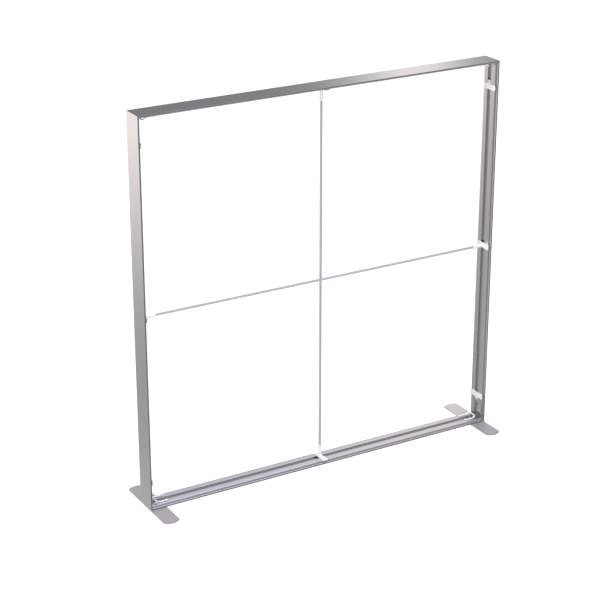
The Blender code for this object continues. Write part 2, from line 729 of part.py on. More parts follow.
def sleeve_mesh(name):
    """Turned sleeve with a boss at its foot and a bore right through."""
    bore = BAR_DIAMETER / 2 + SEAT_GAP
    outer = SLEEVE_DIAMETER / 2
    boss = SLEEVE_BOSS_DIAMETER / 2
    top = SLEEVE_MOUTH
    foot = SLEEVE_SEAT
    profile = [
        (outer - SLEEVE_RIM_CHAMFER, top), (outer, top - SLEEVE_RIM_CHAMFER),
        (outer, foot + SLEEVE_BOSS_HEIGHT + SLEEVE_BOSS_TAPER), (boss, foot + SLEEVE_BOSS_HEIGHT),
        (boss, foot), (bore, foot), (bore, top),
    ]
    shape = bmesh.new()
    points = [shape.verts.new((x, 0, z)) for x, z in profile]
    for number, point in enumerate(points):
        shape.edges.new((point, points[(number + 1) % len(points)]))
    mesh = bpy.data.meshes.new(name)
    shape.to_mesh(mesh)
    shape.free()
    item = bpy.data.objects.new(name, mesh)
    PARTS.objects.link(item)
    screw = item.modifiers.new("turn", "SCREW")
    screw.axis = "Z"
    screw.steps = ROUND_STEPS
    screw.render_steps = ROUND_STEPS
    screw.use_merge_vertices = True
    screw.merge_threshold = SEAT_GAP / 100
    return smooth(baked_mesh(item))


def build_bars():
    sleeve = sleeve_mesh("sleeve")
    for name, (depth, ends) in BARS.items():
        for side, along in ends:
            clip_name = f"{name}_clip_{side}"
            clip = smooth(clip_mesh(clip_name, bar_depth=depth), 30)
            item = mesh_object(clip_name, clip, WHITE_PLASTIC)
            place(item, side, along=along)
            item = mesh_object(f"{name}_sleeve_{side}", sleeve, WHITE_PLASTIC)
            place(item, side, along=along, depth=depth)
        span = FRAME_WIDTH if name == "crossbar" else FRAME_HEIGHT
        length = span - 2 * (SLEEVE_MOUTH - BAR_INSERTION)
        rod = smooth(cylinder_mesh(name, BAR_DIAMETER, -length / 2, length / 2))
        item = mesh_object(name, rod, BAR_METAL)
        side, along = ends[0]
        place(item, side, along=along, depth=depth, height=span / 2)


# Feet: plate, bracket in the channel, screws and lock bolt

def foot_outline():
    """Plate seen from above, with shallow round ends."""
    half = FOOT_WIDTH / 2
    straight = FOOT_LENGTH / 2 - FOOT_END_BULGE
    radius = (half ** 2 + FOOT_END_BULGE ** 2) / (2 * FOOT_END_BULGE)
    centre = straight + FOOT_END_BULGE - radius
    sweep = math.degrees(math.asin(half / radius))
    back = arc(0, centre, radius, 90 - sweep, 90 + sweep, 12)
    front = [(-x, -y) for x, y in back]
    return back + front


def foot_plate_mesh(name, sign):
    """Foot plate in world axes, centred on its own middle; sign is the side it stands on."""
    plate = slab_mesh(name, [foot_outline()], FOOT_THICKNESS)
    moved(plate, Matrix.Translation((0, 0, FOOT_THICKNESS / 2)))
    removed = []
    for distance in foot_screw_places():
        x = sign * (FOOT_WIDTH / 2 - distance)
        bore = cylinder_mesh(
            "bore", FOOT_SCREW_DIAMETER + 2 * SCREW_CLEARANCE, -CUT_OVERRUN, FOOT_THICKNESS + CUT_OVERRUN,
            SMALL_ROUND_STEPS,
        )
        removed.append(moved(bore, Matrix.Translation((x, 0, 0))))
    return combined_mesh(name, plate, removed=removed)


def bracket_mesh(name, sign):
    """L-shaped bracket in the channels of post and bottom rail, in world axes from the outer corner."""
    low = BRACKET_SEAT
    high = BRACKET_SEAT + BRACKET_THICKNESS
    outline = [(low, low), (BRACKET_TOE, low), (BRACKET_TOE, high), (high, high), (high, BRACKET_UPRIGHT),
               (low, BRACKET_UPRIGHT)]
    flat = slab_mesh(name, [outline], BRACKET_WIDTH)
    # Outline x runs from the side face inwards, outline y runs up
    if sign < 0:
        turn = Matrix(((1, 0, 0, 0), (0, 0, -1, 0), (0, 1, 0, 0), (0, 0, 0, 1)))
    else:
        turn = Matrix(((-1, 0, 0, 0), (0, 0, 1, 0), (0, 1, 0, 0), (0, 0, 0, 1)))
    body = moved(flat, turn)
    bolt = cylinder_mesh(
        "bolt_bore", LOCK_SHANK_DIAMETER + 2 * SCREW_CLEARANCE, low - CUT_OVERRUN, high + CUT_OVERRUN
    )
    where = Matrix.Translation((0, 0, LOCK_HEIGHT)) @ Matrix.Rotation(-sign * math.pi / 2, 4, "Y")
    removed = [moved(bolt, where)]
    for distance in foot_screw_places():
        bore = cylinder_mesh(
            "screw_bore", FOOT_SCREW_DIAMETER + 2 * SCREW_CLEARANCE, low - CUT_OVERRUN, high + CUT_OVERRUN,
            SMALL_ROUND_STEPS,
        )
        removed.append(moved(bore, Matrix.Translation((-sign * distance, 0, 0))))
    return combined_mesh(name, body, removed=removed)


def foot_screw_mesh():
    """Cap screw from above through the bracket's toe and the rail into the plate."""
    seat = FRAME_BASE + BRACKET_SEAT + BRACKET_THICKNESS + SEAT_GAP
    top = seat + FOOT_SCREW_HEAD_HEIGHT
    head = cylinder_mesh("head", FOOT_SCREW_HEAD, seat, top, SMALL_ROUND_STEPS)
    inside = seat + FOOT_SCREW_HEAD_HEIGHT / 4
    shank = cylinder_mesh("shank", FOOT_SCREW_DIAMETER, FOOT_SCREW_END_SINK, inside, SMALL_ROUND_STEPS)
    socket = cylinder_mesh("socket", FOOT_SCREW_SOCKET, top - FOOT_SCREW_SOCKET_DEPTH, top + CUT_OVERRUN, 6)
    return smooth(combined_mesh("foot_screw", head, joined=[shank], removed=[socket]))


def lock_cone(name, clearance, outer):
    """Countersink round the lock bolt along z, from a depth below the post's outer face inwards."""
    narrow = LOCK_SHANK_DIAMETER + 2 * SCREW_CLEARANCE
    slope = (LOCK_SINK_DIAMETER - narrow) / LOCK_SINK_DEPTH
    wide = LOCK_SINK_DIAMETER - slope * outer
    return cylinder_mesh(
        name, wide - 2 * clearance, outer, LOCK_SINK_DEPTH, ROUND_STEPS, narrow - 2 * clearance
    )


def lock_bolt_mesh(name):
    """Countersunk bolt along z: its head lies in the post's wall and its shank ends inside the bracket."""
    head = lock_cone(name, SCREW_CLEARANCE, LOCK_HEAD_SINK)
    shank = cylinder_mesh(
        "bolt_shank", LOCK_SHANK_DIAMETER, LOCK_SINK_DEPTH / 2 + LOCK_HEAD_SINK, BRACKET_SEAT + LOCK_GRIP
    )
    socket = cylinder_mesh(
        "bolt_socket", LOCK_SOCKET, LOCK_HEAD_SINK - CUT_OVERRUN, LOCK_HEAD_SINK + LOCK_SOCKET_DEPTH, 6
    )
    return smooth(combined_mesh(name, head, joined=[shank], removed=[socket]))


def build_feet():
    screw = foot_screw_mesh()
    for label, sign in (("left", -1), ("right", 1)):
        middle = sign * (FRAME_WIDTH - FOOT_WIDTH) / 2
        plate = mesh_object(f"foot_plate_{label}", foot_plate_mesh(f"foot_plate_{label}", sign), FOOT_METAL)
        plate.location = (middle, 0, 0)
        bevel = plate.modifiers.new("edge", "BEVEL")
        bevel.width = FOOT_EDGE_BEVEL
        bevel.segments = 1
        bevel.limit_method = "ANGLE"
        bevel.angle_limit = math.radians(60)
        for number, distance in enumerate(foot_screw_places(), 1):
            item = mesh_object(f"foot_screw_{label}_{number}", screw, SCREW_STEEL)
            item.location = (sign * (FRAME_WIDTH / 2 - distance), 0, 0)
        corner = bracket_mesh(f"foot_bracket_{label}", sign)
        bracket = mesh_object(f"foot_bracket_{label}", corner, ALUMINIUM)
        bracket.location = (sign * FRAME_WIDTH / 2, 0, FRAME_BASE)
        bolt = mesh_object(f"lock_bolt_{label}", lock_bolt_mesh(f"lock_bolt_{label}"), SCREW_STEEL)
        place(bolt, label, along=LOCK_HEIGHT if label == "left" else FRAME_HEIGHT - LOCK_HEIGHT)


build_profiles()
build_braces()
build_brace_screws()
build_bail_hinges()
build_bails()
build_end_clips()
build_bars()
build_feet()
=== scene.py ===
"""Looks of the bare lightbox display wall: finishes, fine pieces, studio and camera."""

import math

import bmesh
import bpy
from mathutils import Matrix, Vector


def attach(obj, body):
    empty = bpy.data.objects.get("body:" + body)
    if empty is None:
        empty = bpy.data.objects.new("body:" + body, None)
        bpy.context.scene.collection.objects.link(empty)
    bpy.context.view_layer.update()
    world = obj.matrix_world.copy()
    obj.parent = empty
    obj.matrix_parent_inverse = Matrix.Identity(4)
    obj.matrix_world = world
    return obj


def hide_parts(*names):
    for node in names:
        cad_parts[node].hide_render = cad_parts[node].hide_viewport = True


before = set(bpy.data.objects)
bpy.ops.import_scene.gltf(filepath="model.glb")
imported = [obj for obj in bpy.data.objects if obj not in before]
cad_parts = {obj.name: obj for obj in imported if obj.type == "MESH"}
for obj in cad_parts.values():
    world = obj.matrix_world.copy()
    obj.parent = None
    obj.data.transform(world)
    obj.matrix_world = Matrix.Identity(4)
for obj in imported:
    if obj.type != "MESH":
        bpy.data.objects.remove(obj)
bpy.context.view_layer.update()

# Camera, from the fit to the frame's edges in the photograph
CAMERA_PLACE = (-4.2302, -7.0553, 4.2156)
CAMERA_YAW = -0.5273
CAMERA_PITCH = -0.3836
CAMERA_LENS = 106.40
CAMERA_REACH = 200
SENSOR_WIDTH = 36.0

# Studio
FLOOR_SIZE = 60.0
FLOOR_DROP = 0.0005
FLOOR_GLOW = 0.40
FLOOR_GLOW_SEEN = 1.02
FLOOR_TONE = (0.2, 0.2, 0.2)
FLOOR_ROUGHNESS = (0.85, 0.95)
FLOOR_GRAIN = 60.0
FLOOR_CLOUDS = 0.6
AMBIENT = (0.32, 0.33, 0.37)
BACKDROP = (1.02, 1.02, 1.02)

# Softboxes: place, target, size, power, colour and spread in degrees
SOFTBOXES = {
    "overhead_softbox": ((-1.0, -1.0, 6.0), (0, 0, 0.5), 5.0, 330, (1, 1, 1), 180),
    "left_softbox": ((-6.0, -2.0, 2.0), (0, 0, 1.0), 3.0, 140, (1.0, 0.95, 0.95), 180),
    "front_softbox": ((0.5, -7.5, 2.0), (0, 0, 1.0), 3.0, 170, (0.96, 0.97, 1.0), 180),
    "back_softbox": ((4.0, 5.0, 3.0), (1.0, 0, 0.0), 2.0, 120, (1.0, 0.96, 0.95), 180),
    "low_back_softbox": ((2.1, 1.9, 1.5), (0.95, 0.24, 0.0), 0.2, 0.62, (1.0, 0.92, 0.91), 13),
}

# What the metal reflects: places along each ramp with their brightness
REFLECTED_STRENGTH = 1.17
BACK_LOW = [
    (0.0, 0.17), (0.42, 0.17), (0.47, 0.30), (0.51, 0.80),
    (0.555, (1.48, 1.37, 1.36)), (0.59, (1.22, 1.13, 1.12)), (0.627, 0.30), (0.75, 0.15),
]
BACK_HIGH = [
    (0.0, 0.64), (0.30, 0.73), (0.40, (0.88, 0.87, 0.88)),
    (0.52, (0.97, 0.915, 0.90)), (0.62, (1.01, 0.935, 0.915)), (0.75, 0.9),
]
BACK_LEFT = (0.12, 0.12, 0.12)
BACK_DOWN_NEAR = [
    (0.0, 0.66), (0.28, 0.64), (0.33, 0.42), (0.40, 0.35), (0.45, 0.46), (0.50, 0.72),
    (0.55, (1.07, 1.0, 1.0)), (0.60, (1.42, 1.28, 1.28)), (0.70, (1.5, 1.36, 1.36)),
]
BACK_DOWN_FAR = [
    (0.0, 0.50), (0.35, 0.42), (0.50, 0.43), (0.55, 0.44),
    (0.60, (0.53, 0.51, 0.51)), (0.66, (0.92, 0.87, 0.86)),
]
SIDE_LEFT = (0.74, 0.72, 0.72)
HIGH_RING = [
    (0.0, (0.86, 0.94, 1.24)), (0.185, (0.98, 1.08, 1.50)), (0.215, (0.97, 0.90, 0.88)),
    (0.33, 0.60), (0.50, 0.48), (0.79, (0.42, 0.41, 0.40)), (0.84, (0.40, 0.43, 0.50)), (1.0, 0.42),
]
FRONT_LOW_COOL = [
    (0.0, 0.82), (0.12, 0.68), (0.30, (0.36, 0.39, 0.45)), (0.60, (0.36, 0.38, 0.43)), (1.0, 0.36),
]
FRONT_LOW_WARM = [
    (0.0, 0.82), (0.12, 0.68), (0.30, (0.42, 0.41, 0.40)), (0.60, (0.36, 0.35, 0.35)), (1.0, 0.36),
]
FRONT_HIGH_WARM = (1.20, 1.12, 1.12)
FRONT_HIGH_COOL = (1.10, 1.10, 1.20)
FRONT_LEFT = [
    (0.0, 0.82), (0.30, (0.58, 0.62, 0.76)), (0.47, (0.59, 0.62, 0.75)),
    (0.57, (0.70, 0.67, 0.67)), (1.0, 0.6),
]

# Where these surroundings run or meet, in degrees round from the back towards the right, or up from level
BACK_TURN = (20, 45)
BACK_DROP = (-40, 0)
FRONT_DROP = (-45, 0)
BACK_RISE_EDGE = (20, 27)
BACK_LEFT_EDGE = (-5, 12)
BACK_FAR_EDGE = (-34, -28)
SIDE_LEFT_EDGE = (-62, -46)
BACK_LEVEL_EDGE = (-9, -3)
FRONT_LOW_EDGE = (142, 151)
FRONT_HIGH_EDGE = (145, 151)
FRONT_RISE_EDGE = (8, 20)
HIGH_RING_EDGE = (28, 36)

# Two more such edges, set by a direction's x and y
FRONT_LEFT_EDGE = (-0.55, -0.85)
FRONT_BACK_EDGE = (-0.25, 0.25)

# Finish of the extrusions
EXTRUDED_LINES = {"Across": 1100.0, "Along": 2.0}
EXTRUDED_GRAIN = {"Scale": 1600.0, "Clouds": 9.0}
EXTRUDED_RELIEF = 0.000001
EXTRUDED_ROUGHNESS_SPREAD = 0.05
PATCH_LIMITS = (0.35, 0.65)
PATCH_TONES = [(0.0, 0.90), (1.0, 1.0)]
PATCH_SHARE = 0.35

# Frame
FRAME_WIDTH = 2.0
FRAME_HEIGHT = 2.0
FRAME_BASE = 0.0053
SEAT_GAP = 0.0003
AXIS_RADIUS = SEAT_GAP / 10
MERGE_DISTANCE = SEAT_GAP / 100
CUT_OVERRUN = 0.002
HALF_DEPTH = 0.060

# Section of the profiles
LIP_HEIGHT = 0.008
LIP_ROUND = 0.0098
LIP_CROWN = 0.0020
LEDGE_EDGE = 0.048
LEDGE_HEIGHT = 0.0155
NOSE_DEPTH = 0.010
NOSE_ROUND = 0.0012
NOSE_SLOPE = 9.0
NOSE_SETBACK = 0.0006
EDGE_WALL = 0.0022
OUTER_ROUND = 0.0005
FABRIC_SLOT_WIDTH = 0.0035
FABRIC_SLOT_DEPTH = 0.010
CHANNEL_EDGE = 0.014
CHANNEL_FLOOR = 0.003
CHANNEL_EDGE_RADIUS = 0.0008
CHAMBER_WALL = 0.0018
CHAMBER_EDGE = 0.0395
FLOOR_RIB_COUNT = 6
FLOOR_RIB_WIDTH = 0.0014
FLOOR_RIB_HEIGHT = 0.0010
FLOOR_RIB_FOOT_SHARE = 1.6
FLOOR_RIB_SHOULDER_SHARE = 0.8
FLOOR_RIB_CROWN_SHARE = 0.4
FLOOR_RIB_DROP_SHARE = 0.3
MITRE_GAP = 0.0004

# Holes and fasteners in the profiles
BRACE_SCREW_FROM_CORNER = 0.038
BRACE_SCREW_OFFSET = 0.024
BRACE_SCREW_HOLE = 0.0066
BRACE_SCREW_DIAMETER = 0.006
BRACE_SCREW_LENGTH = 0.0085
BRACE_SCREW_SINK = 0.0003
BRACE_SCREW_SOCKET = 0.003
BRACE_SCREW_SOCKET_DEPTH = 0.0025
BRACE_SCREW_END_CHAMFER = 0.0005
BRACE_SCREW_TOP_CHAMFER = 0.0003
STUD_HOLE = 0.0040
STUD_OFFSET = 0.0233
LOCK_HEIGHT = 0.081
LOCK_SINK_DIAMETER = 0.018
LOCK_SINK_DEPTH = 0.0027
LOCK_HOLE = 0.0126
LOCK_SHANK = 0.012
LOCK_HEAD_SINK = 0.0003
LOCK_SOCKET = 0.0096
LOCK_SOCKET_DEPTH = 0.0025
LOCK_END = 0.0073
LOCK_HEAD_EDGE = ((0.0007, 0.0), (0.0002, 0.0001), (0.0001, 0.0003))
LOCK_NECK = 0.0001
LOCK_END_CHAMFER = 0.0006
FOOT_SCREWS_FROM_SIDE = (0.024, 0.043)
FOOT_SCREW_HOLE = 0.0056
FOOT_SCREW_DIAMETER = 0.005
FOOT_SCREW_HEAD = 0.0095
FOOT_SCREW_HEAD_HEIGHT = 0.004
FOOT_SCREW_SOCKET = 0.0045
FOOT_SCREW_SOCKET_DEPTH = 0.002
FOOT_SCREW_END_SINK = 0.0005
FOOT_SCREW_EDGE = FOOT_SCREW_HEAD / 20
SOCKET_SIDES = 6

# Bails and hinges
BAIL_WIRE = 0.0062
BAIL_ARM_OFFSET = 0.029
BAIL_PIVOT_FROM_CORNER = 0.103
BAIL_BEND_FROM_CORNER = 0.056
BAIL_END_FROM_CORNER = 0.041
BAIL_END_RISE = 0.011
BAIL_BEND_RADIUS = 0.007
BAIL_END_RADIUS = 0.010
BAIL_EYE_DIAMETER = 0.0070
BAIL_EYE_WIDTH = 0.0068
BAIL_EYE_STRAIGHT_SHARE = 0.88
BAIL_JOURNAL_DIAMETER = 0.003
BAIL_EYE_CHAMFER = BAIL_JOURNAL_DIAMETER / 8
BAIL_BORE = 0.0036
BAIL_AXIS_HEIGHT = 0.0193
BAIL_BEND_STEPS = 10
BAIL_WIRE_STEPS = 4
STUD_THICKNESS = 0.0040
STUD_ROUND = STUD_THICKNESS / 10
STUD_SHANK_DIAMETER = 0.0034
STUD_SHANK_DEPTH = 0.008

# Clips
CLIP_SEAT = 0.0158
CLIP_TOP = 0.0198
CLIP_FROM_END = 0.143
CLIP_WIDTH = 0.028
CLIP_FRONT = -0.052
CLIP_BACK = 0.037
CLIP_CORNER_RADIUS = 0.002
CLIP_BLOCK_LENGTH = 0.018
CLIP_BLOCK_RISE = 0.0012
CLIP_RIM = 0.003
CLIP_RECESS = 0.0008
CLIP_BEAD_DIAMETER = 0.0016
CLIP_BEAD_SIDES = 12
CLIP_BEAD_COUNT = 9
CLIP_LEG_THICKNESS = 0.002
CLIP_LEG_DEPTH = 0.004
CLIP_LEG_LENGTH = 0.022
CLIP_TONGUE_LENGTH = 0.020
CLIP_TONGUE_ROOT = 0.026
CLIP_TONGUE_TIP = 0.016
CLIP_TONGUE_THICKNESS = 0.003
CLIP_TONGUE_DIP = 0.0045
CLIP_ROUND = 0.0005

# Bars and sleeves
BAR_DIAMETER = 0.013
BAR_OFFSET = 0.00675
CROSSBAR_ABOVE_MIDDLE = 0.0035
BAR_LENGTH = 1.9318
BAR_CHAMFER = 0.0004
SLEEVE_SEAT = 0.0201
SLEEVE_MOUTH = 0.0821
SLEEVE_DIAMETER = 0.0185
SLEEVE_BOSS_DIAMETER = 0.024
SLEEVE_BOSS_HEIGHT = 0.006
SLEEVE_BOSS_TAPER = 0.004
SLEEVE_BORE = 0.0136
SLEEVE_NECK_SHARE = 0.93
SLEEVE_EDGE = 0.0004
SLEEVE_RIM_ROUND = 0.0006
SLEEVE_SHOULDER_STEP = 0.0002
SLEEVE_FLARE_STEPS = 8
SLEEVE_NECK_LOW = 0.001
SLEEVE_NECK_HIGH = 0.007
SLEEVE_RIM_START = 0.0060
SLEEVE_RIM_STEP = 0.0001
SPIGOT_LENGTH = 0.008

# Feet
FOOT_LENGTH = 0.436
FOOT_WIDTH = 0.086
FOOT_THICKNESS = 0.005
FOOT_END_BULGE = 0.019
FOOT_ROUND = 0.0007
BRACKET_WIDTH = 0.0274
BRACKET_SEAT = 0.0043
BRACKET_THICKNESS = 0.006
BRACKET_UPRIGHT = 0.158
BRACKET_TOE = 0.050
BRACKET_BEND = 0.004
BRACKET_ROUND = 0.0005

# Fineness and shading of the meshes
ROUND_STEPS = 48
SMALL_ROUND_STEPS = 24
FLAT_ANGLE = 0.001
FLAT_FACE_WEIGHT = 60

# Turns that stand a flat outline up, facing along y or across x
STAND_UP = Matrix(((1, 0, 0, 0), (0, 0, -1, 0), (0, 1, 0, 0), (0, 0, 0, 1)))
STAND_ACROSS = Matrix(((0, 0, 1, 0), (1, 0, 0, 0), (0, 1, 0, 0), (0, 0, 0, 1)))

# Numbers of the colour sockets on a Mix node
MIX_FIRST = 6
MIX_SECOND = 7
MIX_RESULT = 2


# Node helpers

def new_material(name):
    material = bpy.data.materials.new(name)
    material.use_nodes = True
    return material, material.node_tree.nodes, material.node_tree.links


def new_group(name, inputs, outputs):
    """Shader node group with its sockets and its two ends."""
    group = bpy.data.node_groups.new(name, "ShaderNodeTree")
    for label, kind, value in inputs:
        socket = group.interface.new_socket(label, in_out="INPUT", socket_type=kind)
        if value is not None:
            socket.default_value = value
    for label, kind in outputs:
        group.interface.new_socket(label, in_out="OUTPUT", socket_type=kind)
    entry = group.nodes.new("NodeGroupInput")
    leave = group.nodes.new("NodeGroupOutput")
    return group, entry, leave


def coloured(nodes, links, value, stops):
    """Colours along a ramp through the given places; a single number stands for a grey."""
    ramp = nodes.new("ShaderNodeValToRGB")
    elements = ramp.color_ramp.elements
    elements.remove(elements[0])
    for number, (place, colour) in enumerate(stops):
        stop = elements[0] if number == 0 else elements.new(place)
        stop.position = place
        shade = (colour, colour, colour) if isinstance(colour, (int, float)) else colour
        stop.color = (*shade, 1)
    links.new(value, ramp.inputs[0])
    return ramp.outputs[0]


def math_node(nodes, links, operation, *values):
    node = nodes.new("ShaderNodeMath")
    node.operation = operation
    for socket, value in zip(node.inputs, values):
        if isinstance(value, (int, float)):
            socket.default_value = value
        else:
            links.new(value, socket)
    return node.outputs[0]


def scaled(nodes, links, value, low, high, smooth=False):
    """A value mapped to 0..1 between two limits."""
    node = nodes.new("ShaderNodeMapRange")
    node.interpolation_type = "SMOOTHSTEP" if smooth else "LINEAR"
    links.new(value, node.inputs["Value"])
    node.inputs["From Min"].default_value = low
    node.inputs["From Max"].default_value = high
    return node.outputs["Result"]


def ranged(nodes, links, value, low, high):
    """A value of 0..1 mapped to a range."""
    node = nodes.new("ShaderNodeMapRange")
    links.new(value, node.inputs["Value"])
    node.inputs["To Min"].default_value = low
    node.inputs["To Max"].default_value = high
    return node.outputs["Result"]


def mixed(nodes, links, share, first, second):
    """Two colours, fixed or from sockets, mixed by a share."""
    node = nodes.new("ShaderNodeMix")
    node.data_type = "RGBA"
    links.new(share, node.inputs["Factor"])
    for socket, colour in ((node.inputs[MIX_FIRST], first), (node.inputs[MIX_SECOND], second)):
        if isinstance(colour, tuple):
            socket.default_value = (*colour, 1)
        else:
            links.new(colour, socket)
    return node.outputs[MIX_RESULT]


def noise_node(nodes, links, vector, scale, detail=3.0, roughness=0.5):
    node = nodes.new("ShaderNodeTexNoise")
    node.inputs["Detail"].default_value = detail
    node.inputs["Roughness"].default_value = roughness
    links.new(vector, node.inputs["Vector"])
    if isinstance(scale, (int, float)):
        node.inputs["Scale"].default_value = scale
    else:
        links.new(scale, node.inputs["Scale"])
    return node.outputs["Fac"]


# Effects that several finishes share

def drawing_lines_group():
    """Faint lines left by the die, along one axis of the piece."""
    group, entry, leave = new_group(
        "drawing_lines",
        [
            ("Vector", "NodeSocketVector", None),
            ("Across", "NodeSocketFloat", 900.0),
            ("Along", "NodeSocketFloat", 1.5),
        ],
        [("Lines", "NodeSocketFloat"), ("Patches", "NodeSocketFloat")],
    )
    nodes = group.nodes
    links = group.links
    spread = nodes.new("ShaderNodeCombineXYZ")
    links.new(entry.outputs["Across"], spread.inputs["X"])
    links.new(entry.outputs["Along"], spread.inputs["Y"])
    links.new(entry.outputs["Across"], spread.inputs["Z"])
    stretched = nodes.new("ShaderNodeVectorMath")
    stretched.operation = "MULTIPLY"
    links.new(entry.outputs["Vector"], stretched.inputs[0])
    links.new(spread.outputs[0], stretched.inputs[1])
    vector = stretched.outputs[0]
    lines = noise_node(nodes, links, vector, scale=1.0, detail=4.0, roughness=0.6)
    links.new(lines, leave.inputs["Lines"])
    patches = noise_node(nodes, links, vector, scale=0.07, detail=2.0)
    links.new(patches, leave.inputs["Patches"])
    return group


def fine_grain_group():
    """Grain of an anodised, coated or moulded skin, with a coarser cloudiness."""
    group, entry, leave = new_group(
        "fine_grain",
        [
            ("Vector", "NodeSocketVector", None),
            ("Scale", "NodeSocketFloat", 900.0),
            ("Clouds", "NodeSocketFloat", 25.0),
        ],
        [("Grain", "NodeSocketFloat"), ("Cloud", "NodeSocketFloat")],
    )
    nodes = group.nodes
    links = group.links
    vector = entry.outputs["Vector"]
    grain = noise_node(nodes, links, vector, entry.outputs["Scale"], detail=2.0, roughness=0.6)
    links.new(grain, leave.inputs["Grain"])
    cloud = noise_node(nodes, links, vector, entry.outputs["Clouds"], detail=3.0)
    links.new(cloud, leave.inputs["Cloud"])
    return group


DRAWING_LINES = drawing_lines_group()
FINE_GRAIN = fine_grain_group()


def placed_group(nodes, links, group, **values):
    """A shared effect on the piece's own coordinates, with its settings."""
    where = nodes.new("ShaderNodeTexCoord")
    node = nodes.new("ShaderNodeGroup")
    node.node_tree = group
    links.new(where.outputs["Object"], node.inputs["Vector"])
    for name, value in values.items():
        node.inputs[name].default_value = value
    return node


def bumped(nodes, links, shader, height, distance):
    """Relief of the given height on a shader."""
    bump = nodes.new("ShaderNodeBump")
    bump.inputs["Distance"].default_value = distance
    links.new(height, bump.inputs["Height"])
    links.new(bump.outputs["Normal"], shader.inputs["Normal"])


def extruded_aluminium(name, light, dark, roughness):
    """Satin anodised extrusion: drawing lines along y and a fine anodised grain."""
    material, nodes, links = new_material(name)
    shader = nodes["Principled BSDF"]
    shader.inputs["Metallic"].default_value = 1.0
    lines = placed_group(nodes, links, DRAWING_LINES, **EXTRUDED_LINES)
    grain = placed_group(nodes, links, FINE_GRAIN, **EXTRUDED_GRAIN)
    tone = mixed(nodes, links, lines.outputs["Lines"], dark, light)
    patch = scaled(nodes, links, lines.outputs["Patches"], *PATCH_LIMITS)
    shade = nodes.new("ShaderNodeMix")
    shade.data_type = "RGBA"
    shade.blend_type = "MULTIPLY"
    shade.inputs["Factor"].default_value = PATCH_SHARE
    links.new(tone, shade.inputs[MIX_FIRST])
    links.new(coloured(nodes, links, patch, PATCH_TONES), shade.inputs[MIX_SECOND])
    links.new(shade.outputs[MIX_RESULT], shader.inputs["Base Color"])
    both = math_node(nodes, links, "ADD", lines.outputs["Lines"], grain.outputs["Grain"])
    half = math_node(nodes, links, "MULTIPLY", both, 0.5)
    low = roughness - EXTRUDED_ROUGHNESS_SPREAD
    high = roughness + EXTRUDED_ROUGHNESS_SPREAD
    links.new(ranged(nodes, links, half, low, high), shader.inputs["Roughness"])
    bumped(nodes, links, shader, both, EXTRUDED_RELIEF)
    return material


def grained_skin(name, light, dark, roughness, grain_size, relief, metallic=0.0, clouds=25.0):
    """Grained skin: moulded plastic, powder coat or plated steel."""
    material, nodes, links = new_material(name)
    shader = nodes["Principled BSDF"]
    shader.inputs["Metallic"].default_value = metallic
    grain = placed_group(nodes, links, FINE_GRAIN, Scale=grain_size, Clouds=clouds)
    tone = mixed(nodes, links, grain.outputs["Grain"], dark, light)
    links.new(tone, shader.inputs["Base Color"])
    links.new(ranged(nodes, links, grain.outputs["Cloud"], *roughness), shader.inputs["Roughness"])
    bumped(nodes, links, shader, grain.outputs["Grain"], relief)
    return material


PROFILE_ALUMINIUM = extruded_aluminium(
    "profile_aluminium", light=(0.64, 0.63, 0.632), dark=(0.58, 0.57, 0.572), roughness=0.22
)
BRACKET_ALUMINIUM = extruded_aluminium(
    "bracket_aluminium", light=(0.60, 0.59, 0.59), dark=(0.50, 0.49, 0.49), roughness=0.30
)
BRACE_ALUMINIUM = extruded_aluminium(
    "brace_aluminium", light=(0.56, 0.56, 0.56), dark=(0.44, 0.44, 0.44), roughness=0.45
)
ROD_ALUMINIUM = extruded_aluminium(
    "rod_aluminium", light=(0.80, 0.80, 0.83), dark=(0.73, 0.73, 0.76), roughness=0.44
)
WHITE_PLASTIC = grained_skin(
    "white_plastic", light=(0.90, 0.89, 0.90), dark=(0.87, 0.86, 0.87),
    roughness=(0.34, 0.46), grain_size=700.0, relief=0.00002,
)
SMOOTH_WHITE = grained_skin(
    "smooth_white_plastic", light=(0.98, 0.965, 0.97), dark=(0.95, 0.935, 0.94),
    roughness=(0.26, 0.34), grain_size=700.0, relief=0.000008,
)
FOOT_COAT = grained_skin(
    "foot_coat", light=(0.36, 0.34, 0.345), dark=(0.26, 0.245, 0.25),
    roughness=(0.42, 0.58), grain_size=1300.0, relief=0.00006,
)
BRIGHT_PLATE = grained_skin(
    "bright_plate", light=(0.96, 0.95, 0.95), dark=(0.90, 0.89, 0.89),
    roughness=(0.2, 0.3), grain_size=1500.0, relief=0.00001, metallic=1.0, clouds=120.0,
)
# Blackened steel of the screws; on the lock bolts the same black is painted shade in the hole and the socket
BLACK_STEEL_AND_PAINTED_SHADE = grained_skin(
    "blackened_steel_and_painted_shade", light=(0.10, 0.10, 0.11), dark=(0.06, 0.06, 0.07),
    roughness=(0.35, 0.5), grain_size=1500.0, relief=0.00001, metallic=1.0,
)


# Mesh helpers

SIDES = {
    "left": (Vector((-FRAME_WIDTH / 2, 0, FRAME_BASE)), Vector((1, 0, 0)), FRAME_HEIGHT),
    "top": (Vector((-FRAME_WIDTH / 2, 0, FRAME_BASE + FRAME_HEIGHT)), Vector((0, 0, -1)), FRAME_WIDTH),
    "right": (Vector((FRAME_WIDTH / 2, 0, FRAME_BASE + FRAME_HEIGHT)), Vector((-1, 0, 0)), FRAME_HEIGHT),
    "bottom": (Vector((FRAME_WIDTH / 2, 0, FRAME_BASE)), Vector((0, 0, 1)), FRAME_WIDTH),
}
ROWS = {"front": -1, "back": 1}
FOOT_SIDES = {"left": -1, "right": 1}
CORNERS = {
    "top_left": ("top", "start", "left", "end"),
    "top_right": ("top", "end", "right", "start"),
    "bottom_left": ("bottom", "end", "left", "start"),
    "bottom_right": ("bottom", "start", "right", "end"),
}


